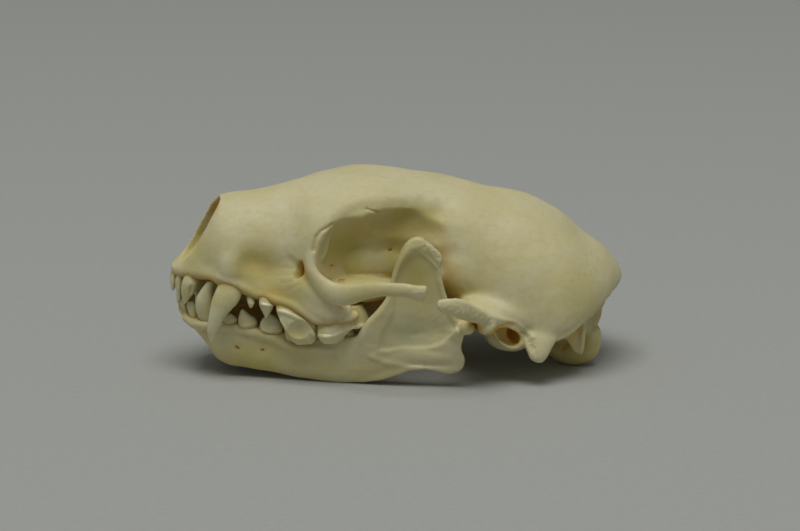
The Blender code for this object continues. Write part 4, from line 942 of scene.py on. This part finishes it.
def sculpt_cranium(skin):
    """Ridges, grooves, rough bone, stains and painted shade of the cranium, alike on both sides."""
    # Orange along paths: dark lines along the jaw joint and a suture above the ear, then painted shade in the
    # infraorbital opening, the lacrimal groove, the slit on the orbit's rim, the canine notch, behind the
    # mastoid and behind the coronoid
    stain_and_shade_paths = [
        ([(9.5, 11.4), (10.5, 11.2), (11.1, 10.4), (10.5, 9.4), (9.6, 8.9)], 0.28, (12, 20), 1.0),
        ([(12.3, 9.4), (13.9, 10.4), (15.5, 10.9), (16.6, 10.6)], 0.26, (12, 20), 1.0),
        ([(-17.3, 20.4), (-16.8, 19.2), (-16.9, 17.9)], 0.5, (10.0, 14), 0.5),
        ([(-12.6, 26.5), (-14.2, 25.7), (-15.0, 24.7), (-15.4, 23.0)], 0.2, (10, 14), 0.4),
        ([(-5.9, 28.7), (-4.7, 28.2)], 0.15, (8, 14), 0.6),
        ([(-33.2, 16.6), (-31.6, 16.8)], 0.8, (4, 9), 0.7),
        ([(26.4, 5.6), (27.6, 6.8)], 0.7, (8, 15), 0.4),
        ([(5.0, 25.0), (6.2, 21.0), (7.4, 17.5)], 0.9, (4, 14), 0.25),
    ]
    rough = [
        ([(0.4, 17.9), (1.4, 17.2)], 0.8, (19, 24)),
        ([(3.6, 15.3), (6.5, 14.6), (9.2, 13.2), (12.4, 11.5)], 1.0, (15, 24)),
        ([(18.3, 9.3), (19.3, 7.9), (19.8, 6.4)], 0.8, (14, 20)),
        ([(24.0, 7.4), (27.0, 8.4), (30.6, 10.6), (34.0, 12.6)], 0.4, (4, 20)),
    ]
    for side in SIDES.values():
        for row in cranium_grooves():
            skin.carve(*row, side)
        for row in stain_and_shade_paths:
            skin.mark("stain", *row, side)
        skin.dish(EAR_STRIP, depth=0.15, soft=0.5, span=(14, 20), side=side)
        # Painted shade around the small pits of the orbit
        for x, z, *_ in ORBIT_PITS:
            skin.mark("stain", [(x, z)], 0.5, (6, 12), 0.4, side)
        # Painted shade: yellower bone in shaded parts
        for row in PAINTED_SHADE_CRANIUM:
            skin.mark_ball("tan", *row, side)
        # Painted shade in soft balls
        for row in PAINTED_SHADE_BALLS:
            skin.mark_ball(*row, side)
        for row in rough:
            skin.crumble(*row, side, amplitude=0.15, grain=0.45)
    skin.weather(((0.13, 4.5), (0.05, 2.0), (0.02, 0.8)))


def sculpt_jaw(skin, side):
    """Crests, hollows, rough bone and painted shade of one lower jaw."""
    outer = (10.0, 19.0)
    carved = [
        ([(-6.2, 4.9), (-3.9, 4.0), (-1.0, 3.6), (1.4, 3.3)], 0.5, 0.2, outer),
        ([(-5.8, 5.2), (-3.4, 5.8), (-1.0, 6.2), (2.6, 6.4), (4.9, 7.1), (6.6, 8.4), (8.0, 10.2)],
         0.6, 0.05, outer),
        ([(-2.0, 8.2), (0.5, 8.6), (4.0, 9.4)], 1.6, -0.3, outer),
        ([(2.6, 22.4), (4.6, 20.3)], 0.35, -0.12, outer),
        ([(-26.5, 7.35), (-25.7, 7.25)], 0.15, -0.1, (6, 10)),
    ]
    for end in [(5.5, 12.2), (6.6, 10.8), (7.0, 9.3)]:
        carved.append(([(0.5, 8.6), end], 0.3, -0.04, outer))
    for row in carved:
        skin.carve("side", *row, side)
    skin.dish(RAMUS_PLATE, depth=0.4, soft=0.8, span=outer, side=side)
    # Painted shade on the jaw's inner face, towards the mouth
    skin.mark_ball("stain", (-24.0, 2.0, 6.5), (9.0, 3.0, 3.4), 0.9, side)
    skin.crumble([(2.2, 24.0), (3.4, 22.9), (4.8, 21.2)], 0.75, outer, side, amplitude=0.2, grain=0.38)
    skin.mark("thin", [(-0.4, 8.8)], 2.2, (14.0, 17.5), 0.9, side)
    # Painted shade: yellower bone in shaded parts
    for row in PAINTED_SHADE_JAW:
        skin.mark_ball("tan", *row, side)
    # The pits get painted shade and a shallow dip
    for x, z, *_ in JAW_PITS:
        skin.mark("stain", [(x, z)], 0.4, (6, 12), 0.3, side)
        skin.carve("side", [(x, z)], 0.7, -0.15, (6, 12), side)
    skin.weather(((0.08, 3.5), (0.035, 1.6), (0.018, 0.8)))


def gum_lines(skin, teeth, inward):
    """A brown groove in the bone around each tooth, and painted shade where the bone faces the mouth."""
    points = np.concatenate([rows_of(row.data.vertices, "co")[::3] for row in teeth])
    tree = search_tree(points)
    for index in np.flatnonzero(in_box(skin.places, points, GUM_REACH)):
        gap = tree.find(skin.places[index])[2]
        if gap > GUM_REACH:
            continue
        near = fading(gap, GROOVE_WIDTH)
        skin.lift[index] -= GROOVE_DEPTH * near
        patchy = GUM_PATCHY + GUM_PATCHY * noise.noise(Vector(skin.places[index]) / GUM_GRAIN)
        # Painted shade on bone that faces the mouth, near the teeth
        facing = min(max(2.0 * float(skin.normals[index] @ inward), 0.0), 1.0)
        near = max(near * patchy, MOUTH_PAINTED_SHADE * facing * fading(gap, MOUTH_PAINTED_SHADE_WIDTH))
        skin.marks["gum"][index] = max(skin.marks["gum"][index], near)


def root_shade(row, bone, side, hollows=()):
    """Yellow of the teeth by how near each point lies to the bone, and painted shade near the middle of a
    hollow.
    """
    points = rows_of(bone.data.vertices, "co")
    places = rows_of(row.data.vertices, "co")
    tree = search_tree(points[in_box(points, places, ROOT_REACH)])
    near = np.array([fading(tree.find(place)[2], ROOT_WIDTH) for place in places])
    for hollow in hollows:
        gap = ball_gap(places, *hollow, side)
        near = np.maximum(near, HOLLOW_PAINTED_SHADE * np.exp(-(gap ** 2)))
    write_mark(row.data, "root", near)


def dome_of_rays():
    """Directions spread over the half of all directions that has Z above 0."""
    golden = math.pi * (3 - math.sqrt(5))
    spread = []
    for i in range(SHUT_RAYS):
        up = math.sqrt((i + 0.5) / SHUT_RAYS)
        out = math.sqrt(1 - up * up)
        spread.append((out * math.cos(golden * i), out * math.sin(golden * i), up))
    return np.array(spread)


def shut_share(tree, place, normal, spread):
    """How shut in one point is: 0 with nothing in sight within reach, nearer 1 in a tight gap."""
    side = np.cross(normal, (0.0, 0.0, 1.0) if abs(normal[2]) < 0.9 else (1.0, 0.0, 0.0))
    side /= np.linalg.norm(side)
    origin = Vector(place + normal * SHUT_START)
    total = 0.0
    for ray in spread @ np.array([side, np.cross(normal, side), normal]):
        gap = tree.ray_cast(origin, ray, SHUT_REACH)[3]
        total += 0.0 if gap is None else 1.0 - gap / SHUT_REACH
    return total / SHUT_RAYS


def paint_hollow_shade(skins):
    """Marks painted shade by how far each point is shut in by the bone around it, and more on faces turned
    down.
    """
    vertices, faces, start = [], [], 0
    for skin in skins:
        vertices.append(skin.places)
        corners = np.empty(len(skin.mesh.loops), np.int32)
        skin.mesh.loops.foreach_get("vertex_index", corners)
        faces += (corners.reshape(-1, 4) + start).tolist()
        start += len(skin.places)
    tree = BVHTree.FromPolygons(np.concatenate(vertices).tolist(), faces)
    spread = dome_of_rays()
    for skin in skins:
        picked = skin.places[::SHUT_EVERY]
        samples = search_tree(picked)
        shut = [shut_share(tree, place, normal, spread)
                for place, normal in zip(picked, skin.normals[::SHUT_EVERY])]
        depth = np.empty(len(skin.places))
        for index, place in enumerate(skin.places):
            found = samples.find_n(place, 3)
            weights = [1.0 / (gap + 0.1) for _, _, gap in found]
            depth[index] = sum(shut[row] * w for (_, row, _), w in zip(found, weights)) / sum(weights)
        # Painted shade on faces turned down, as if the floor hid the light
        under = np.clip(UNDERSIDE_FROM - skin.normals[:, 2], 0.0, 1.0)
        depth = np.clip(depth * SHUT_GAIN - SHUT_FROM + UNDERSIDE_SHARE * under, 0.0, 1.0)
        skin.marks["recess"] = np.maximum(skin.marks["recess"], depth)


class Recipe:
    """A material and its nodes, added one by one."""

    def __init__(self, name):
        self.material = bpy.data.materials.new(name)
        self.material.use_nodes = True
        self.tree = self.material.node_tree
        self.shader = self.tree.nodes["Principled BSDF"]
        self.places = self.node("TexCoord", "Object", {})

    def node(self, kind, result, inputs, **settings):
        """Adds a node, fills its inputs and gives one of its outputs."""
        made = self.tree.nodes.new("ShaderNode" + kind)
        for name, value in settings.items():
            setattr(made, name, value)
        for socket, source in inputs.items():
            self.put(source, made.inputs[socket])
        return made.outputs[result]

    def put(self, source, socket):
        """Links a socket, or sets a plain value."""
        if isinstance(source, bpy.types.NodeSocket):
            self.tree.links.new(source, socket)
        else:
            socket.default_value = source

    def math(self, operation, first, second):
        return self.node("Math", 0, {0: first, 1: second}, operation=operation)

    def mix(self, amount, first, second):
        inputs = {"Factor": amount, "A": first, "B": second}
        return self.node("Mix", "Result", inputs, data_type="RGBA")

    def grain(self, per_metre, detail=3.0, stretch=(1, 1, 1), roughness=0.5):
        """Noise at a number of grains per metre, drawn out along the axes."""
        places = self.node("Mapping", "Vector", {"Vector": self.places, "Scale": stretch})
        inputs = {"Vector": places, "Scale": per_metre, "Detail": detail, "Roughness": roughness}
        return self.node("TexNoise", "Fac", inputs)

    def cells(self, per_metre):
        """Distance to the middle of the nearest cell."""
        return self.node("TexVoronoi", "Distance", {"Vector": self.places, "Scale": per_metre})

    def between(self, value, low, high):
        """0 up to low and 1 from high on, rising smoothly in between."""
        inputs = {"Value": value, "From Min": low, "From Max": high}
        return self.node("MapRange", "Result", inputs, interpolation_type="SMOOTHSTEP")

    def mark(self, name):
        return self.node("Attribute", "Fac", {}, attribute_name=name)

    def bump(self, height, distance, strength):
        inputs = {"Distance": distance, "Strength": strength, "Height": height}
        return self.node("Bump", "Normal", inputs)


def bone_material():
    """Dry, cleaned bone: cream, painted yellower and browner as shade where it is shut in, chalky where it is
    rough.
    """
    r = Recipe("bone")
    cream, pale = (0.67, 0.61, 0.34, 1), (0.71, 0.66, 0.41, 1)
    olive, brown = (0.61, 0.48, 0.12, 1), (0.60, 0.38, 0.07, 1)
    orange, umber = (0.72, 0.37, 0.03, 1), (0.52, 0.27, 0.03, 1)
    chalky, bluish = (0.68, 0.62, 0.36, 1), (0.50, 0.51, 0.31, 1)
    tan = (0.58, 0.50, 0.145, 1)
    broad = r.grain(110, 3.0)
    fine = r.grain(900, 4.0, roughness=0.6)
    streaks = r.grain(420, 3.0, (1.0, 3.5, 3.0))
    colour = r.mix(r.between(broad, 0.35, 0.68), cream, pale)
    colour = r.mix(r.math("MULTIPLY", r.between(fine, 0.45, 0.75), 0.3), colour, olive)
    colour = r.mix(r.math("MULTIPLY", r.between(streaks, 0.5, 0.8), 0.25), colour, olive)
    pores = r.between(r.cells(1300), 0.16, 0.05)
    rare = r.between(r.grain(240, 2.0), 0.56, 0.66)
    dots = r.math("MULTIPLY", pores, rare)
    colour = r.mix(r.math("MULTIPLY", dots, 0.45), colour, brown)
    patchy = r.math("ADD", 0.45, r.math("MULTIPLY", r.between(r.grain(170, 3.0), 0.35, 0.65), 0.55))
    # Painted shade: patchy yellower bone in shaded parts
    colour = r.mix(r.math("MULTIPLY", r.mark("tan"), patchy), colour, tan)
    # Painted shade: olive, then brown, in hollows and on faces turned down
    recess = r.between(r.mark("recess"), 0.05, 0.95)
    colour = r.mix(r.math("MULTIPLY", recess, 0.85), colour, olive)
    colour = r.mix(r.math("MULTIPLY", r.between(recess, 0.3, 1.2), 0.7), colour, brown)
    chalk = r.mark("chalk")
    colour = r.mix(r.math("MULTIPLY", chalk, 0.6), colour, chalky)
    holes = r.math("MULTIPLY", r.between(r.cells(2600), 0.28, 0.12), chalk)
    colour = r.mix(r.math("MULTIPLY", holes, 0.5), colour, brown)
    colour = r.mix(r.math("MULTIPLY", r.mark("thin"), 0.7), colour, bluish)
    # Brown groove round the teeth, and painted shade on bone that faces the mouth
    colour = r.mix(r.math("MULTIPLY", r.mark("gum"), 0.75), colour, umber)
    # Orange stains, and painted shade in holes, pits and inside the mouth
    colour = r.mix(r.math("MULTIPLY", r.mark("stain"), 0.9), colour, orange)
    r.put(colour, r.shader.inputs["Base Color"])
    rough = r.math("ADD", 0.42, r.math("MULTIPLY", fine, 0.22))
    r.put(r.math("ADD", rough, r.math("MULTIPLY", chalk, 0.25)), r.shader.inputs["Roughness"])
    height = r.math("ADD", r.math("MULTIPLY", fine, 0.5), r.math("MULTIPLY", streaks, 0.5))
    height = r.math("SUBTRACT", height, r.math("MULTIPLY", dots, 0.8))
    height = r.math("SUBTRACT", height, r.math("MULTIPLY", holes, 1.2))
    r.put(r.bump(height, 0.00012, 0.35), r.shader.inputs["Normal"])
    r.shader.inputs["Subsurface Weight"].default_value = 0.12
    r.shader.inputs["Subsurface Radius"].default_value = (1.0, 0.6, 0.25)
    r.shader.inputs["Subsurface Scale"].default_value = 0.0015
    r.shader.inputs["IOR"].default_value = 1.45
    return r.material


def enamel_material():
    """Tooth enamel: off-white and glossy, yellower towards the root and with painted shade in a hollow, with
    faint streaks.
    """
    r = Recipe("enamel")
    white, ivory, yellow = (0.74, 0.70, 0.43, 1), (0.66, 0.60, 0.29, 1), (0.58, 0.45, 0.13, 1)
    broad = r.grain(350, 3.0)
    streaks = r.grain(900, 3.0, (1.0, 1.0, 0.18))
    colour = r.mix(r.between(broad, 0.4, 0.68), white, ivory)
    colour = r.mix(r.math("MULTIPLY", r.between(streaks, 0.5, 0.8), 0.25), colour, yellow)
    # Yellower near the bone, and painted shade in the hollow of the shearing tooth
    colour = r.mix(r.math("MULTIPLY", r.mark("root"), 0.7), colour, yellow)
    r.put(colour, r.shader.inputs["Base Color"])
    r.put(r.math("ADD", 0.2, r.math("MULTIPLY", streaks, 0.18)), r.shader.inputs["Roughness"])
    r.put(r.bump(r.math("ADD", streaks, broad), 0.00006, 0.25), r.shader.inputs["Normal"])
    r.shader.inputs["Subsurface Weight"].default_value = 0.15
    r.shader.inputs["Subsurface Radius"].default_value = (1.0, 0.8, 0.5)
    r.shader.inputs["Subsurface Scale"].default_value = 0.001
    r.shader.inputs["Coat Weight"].default_value = 0.3
    r.shader.inputs["Coat Roughness"].default_value = 0.15
    return r.material


def floor_material():
    r = Recipe("table")
    speckle = r.grain(900, 2.0)
    r.put(r.mix(speckle, (0.40, 0.41, 0.39, 1), (0.45, 0.46, 0.44, 1)), r.shader.inputs["Base Color"])
    r.shader.inputs["Roughness"].default_value = 0.8
    return r.material


def shown(piece, name, material, *nodes):
    """Puts a finished piece in its place, in metres, and ties it to the skull."""
    places = rows_of(piece.data.vertices, "co")
    places[:, 2] = np.maximum(places[:, 2], FLOOR_FLAT)
    piece.data.vertices.foreach_set("co", places.astype(np.float32).ravel())
    piece.data.transform(Matrix.Scale(MM, 4) @ Matrix.Translation(PLACE))
    piece.name = name
    piece.data.name = name
    SHOP.objects.unlink(piece)
    bpy.context.scene.collection.objects.link(piece)
    piece.data.materials.clear()
    piece.data.materials.append(material)
    piece.data.shade_smooth()
    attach(piece, "root")
    if nodes:
        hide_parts(*nodes)


def scroll(side, turns, centre, radius):
    """Cross-sections of one rolled plate of the inner nose."""
    inner, outer = [], []
    for k in range(SCROLL_STEPS):
        t = k / (SCROLL_STEPS - 1)
        angle = 2 * math.pi * turns * t
        reach = radius * (SCROLL_START + (1 - SCROLL_START) * t)
        for edge, row in ((-SCROLL_HALF_THICKNESS, inner), (SCROLL_HALF_THICKNESS, outer)):
            wide = reach + edge
            row.append((wide * math.cos(angle), wide * SCROLL_TALL * math.sin(angle)))
    outline = inner + outer[::-1]
    rings = []
    for x, swell in SCROLL_SECTIONS:
        rings.append([(x, (centre[0] + y * swell) * side, centre[1] + z * swell) for y, z in outline])
    return rings


def inner_nose():
    """The septum and the rolled plates on each side of it."""
    septum = [(-31.0, 0.0, 20.0, 1.2, 0.16), (-29.5, 0.0, 21.2, 2.6, 0.16), (-27.0, 0.0, 22.2, 3.6, 0.18),
              (-21.0, 0.0, 22.0, 3.6, 0.2)]
    pieces = [bar("septum", septum, sides=24)]
    for side in SIDES.values():
        pieces += [strip("scroll", scroll(side, *plate)) for plate in SCROLLS]
    return joined("inner nose", pieces)


def add_light(name, place, aim, size, power, colour):
    data = bpy.data.lights.new(name, "AREA")
    data.shape = "RECTANGLE"
    data.size, data.size_y = size
    data.energy = power
    data.color = colour
    lamp = bpy.data.objects.new(name, data)
    bpy.context.scene.collection.objects.link(lamp)
    lamp.location = place
    lamp.rotation_euler = (Vector(aim) - Vector(place)).to_track_quat("-Z", "Y").to_euler()


def studio():
    """A pale floor, soft light from above and a little from all round."""
    bm = bmesh.new()
    bmesh.ops.create_grid(bm, x_segments=8, y_segments=8, size=3.0)
    data = bpy.data.meshes.new("table")
    bm.to_mesh(data)
    bm.free()
    table = bpy.data.objects.new("table", data)
    bpy.context.scene.collection.objects.link(table)
    table.data.materials.append(floor_material())
    world = bpy.data.worlds.new("studio")
    world.use_nodes = True
    sky = world.node_tree.nodes["Background"]
    sky.inputs["Color"].default_value = (0.93, 0.97, 1.0, 1)
    sky.inputs["Strength"].default_value = 0.17
    bpy.context.scene.world = world
    add_light("above", (-0.1, -0.34, 1.46), (0, 0, 0.01), (1.1, 0.8), 13.4, (1.0, 0.99, 0.95))
    bpy.context.scene.view_settings.view_transform = "Standard"


def place_camera():
    data = bpy.data.cameras.new("camera")
    data.lens = CAMERA_LENS
    data.sensor_width = CAMERA_SENSOR
    data.clip_start = 0.01
    data.clip_end = 20.0
    back = Vector((
        math.sin(CAMERA_AZIMUTH) * math.cos(CAMERA_HEIGHT),
        -math.cos(CAMERA_AZIMUTH) * math.cos(CAMERA_HEIGHT),
        math.sin(CAMERA_HEIGHT),
    ))
    camera = bpy.data.objects.new("camera", data)
    bpy.context.scene.collection.objects.link(camera)
    camera.location = (CAMERA_TARGET + PLACE + back * CAMERA_DISTANCE) * MM
    camera.rotation_euler = (-back).to_track_quat("-Z", "Y").to_euler()
    bpy.context.scene.camera = camera


def main():
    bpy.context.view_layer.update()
    place_camera()
    studio()
    bone, enamel = bone_material(), enamel_material()
    uppers, lowers = [], {}
    for word, side in SIDES.items():
        extras = (UPPER_LOBES, UPPER_RIDGES, UPPER_CUSPS, UPPER_HOLLOWS)
        uppers.append(tooth_row("upper_teeth_" + word, UPPER_TEETH, side, extras))
        extras = ({}, LOWER_RIDGES, LOWER_CUSPS, LOWER_HOLLOWS)
        lowers[word] = tooth_row("lower_teeth_" + word, LOWER_TEETH, side, extras)
    cranium = cranium_form()
    skins = [Surface(cranium)]
    sculpt_cranium(skins[0])
    gum_lines(skins[0], uppers, (0.0, 0.0, -1.0))
    jaws = {}
    for word, side in SIDES.items():
        jaws[word] = jaw_form(side)
        skin = Surface(jaws[word])
        sculpt_jaw(skin, side)
        gum_lines(skin, [lowers[word]], (0.0, -0.9 * side, 0.4))
        skins.append(skin)
    paint_hollow_shade(skins)
    for skin in skins:
        skin.finish()
    for row, side in zip(uppers, SIDES.values()):
        root_shade(row, cranium, side, [SHEAR_FACE_PAINTED_SHADE])
    small_pits(cranium, ORBIT_PITS, SIDES.values())
    for word, side in SIDES.items():
        root_shade(lowers[word], jaws[word], side)
        small_pits(jaws[word], JAW_PITS, [side])
    nose = inner_nose()
    shown(cranium, "cranium_bone", bone, "cranium")
    shown(nose, "inner_nose", bone)
    for word, piece in zip(SIDES, uppers):
        shown(piece, "upper_teeth_" + word, enamel)
    for word in SIDES:
        shown(jaws[word], "jaw_bone_" + word, bone, "mandible_" + word)
        shown(lowers[word], "lower_teeth_" + word, enamel)


main()
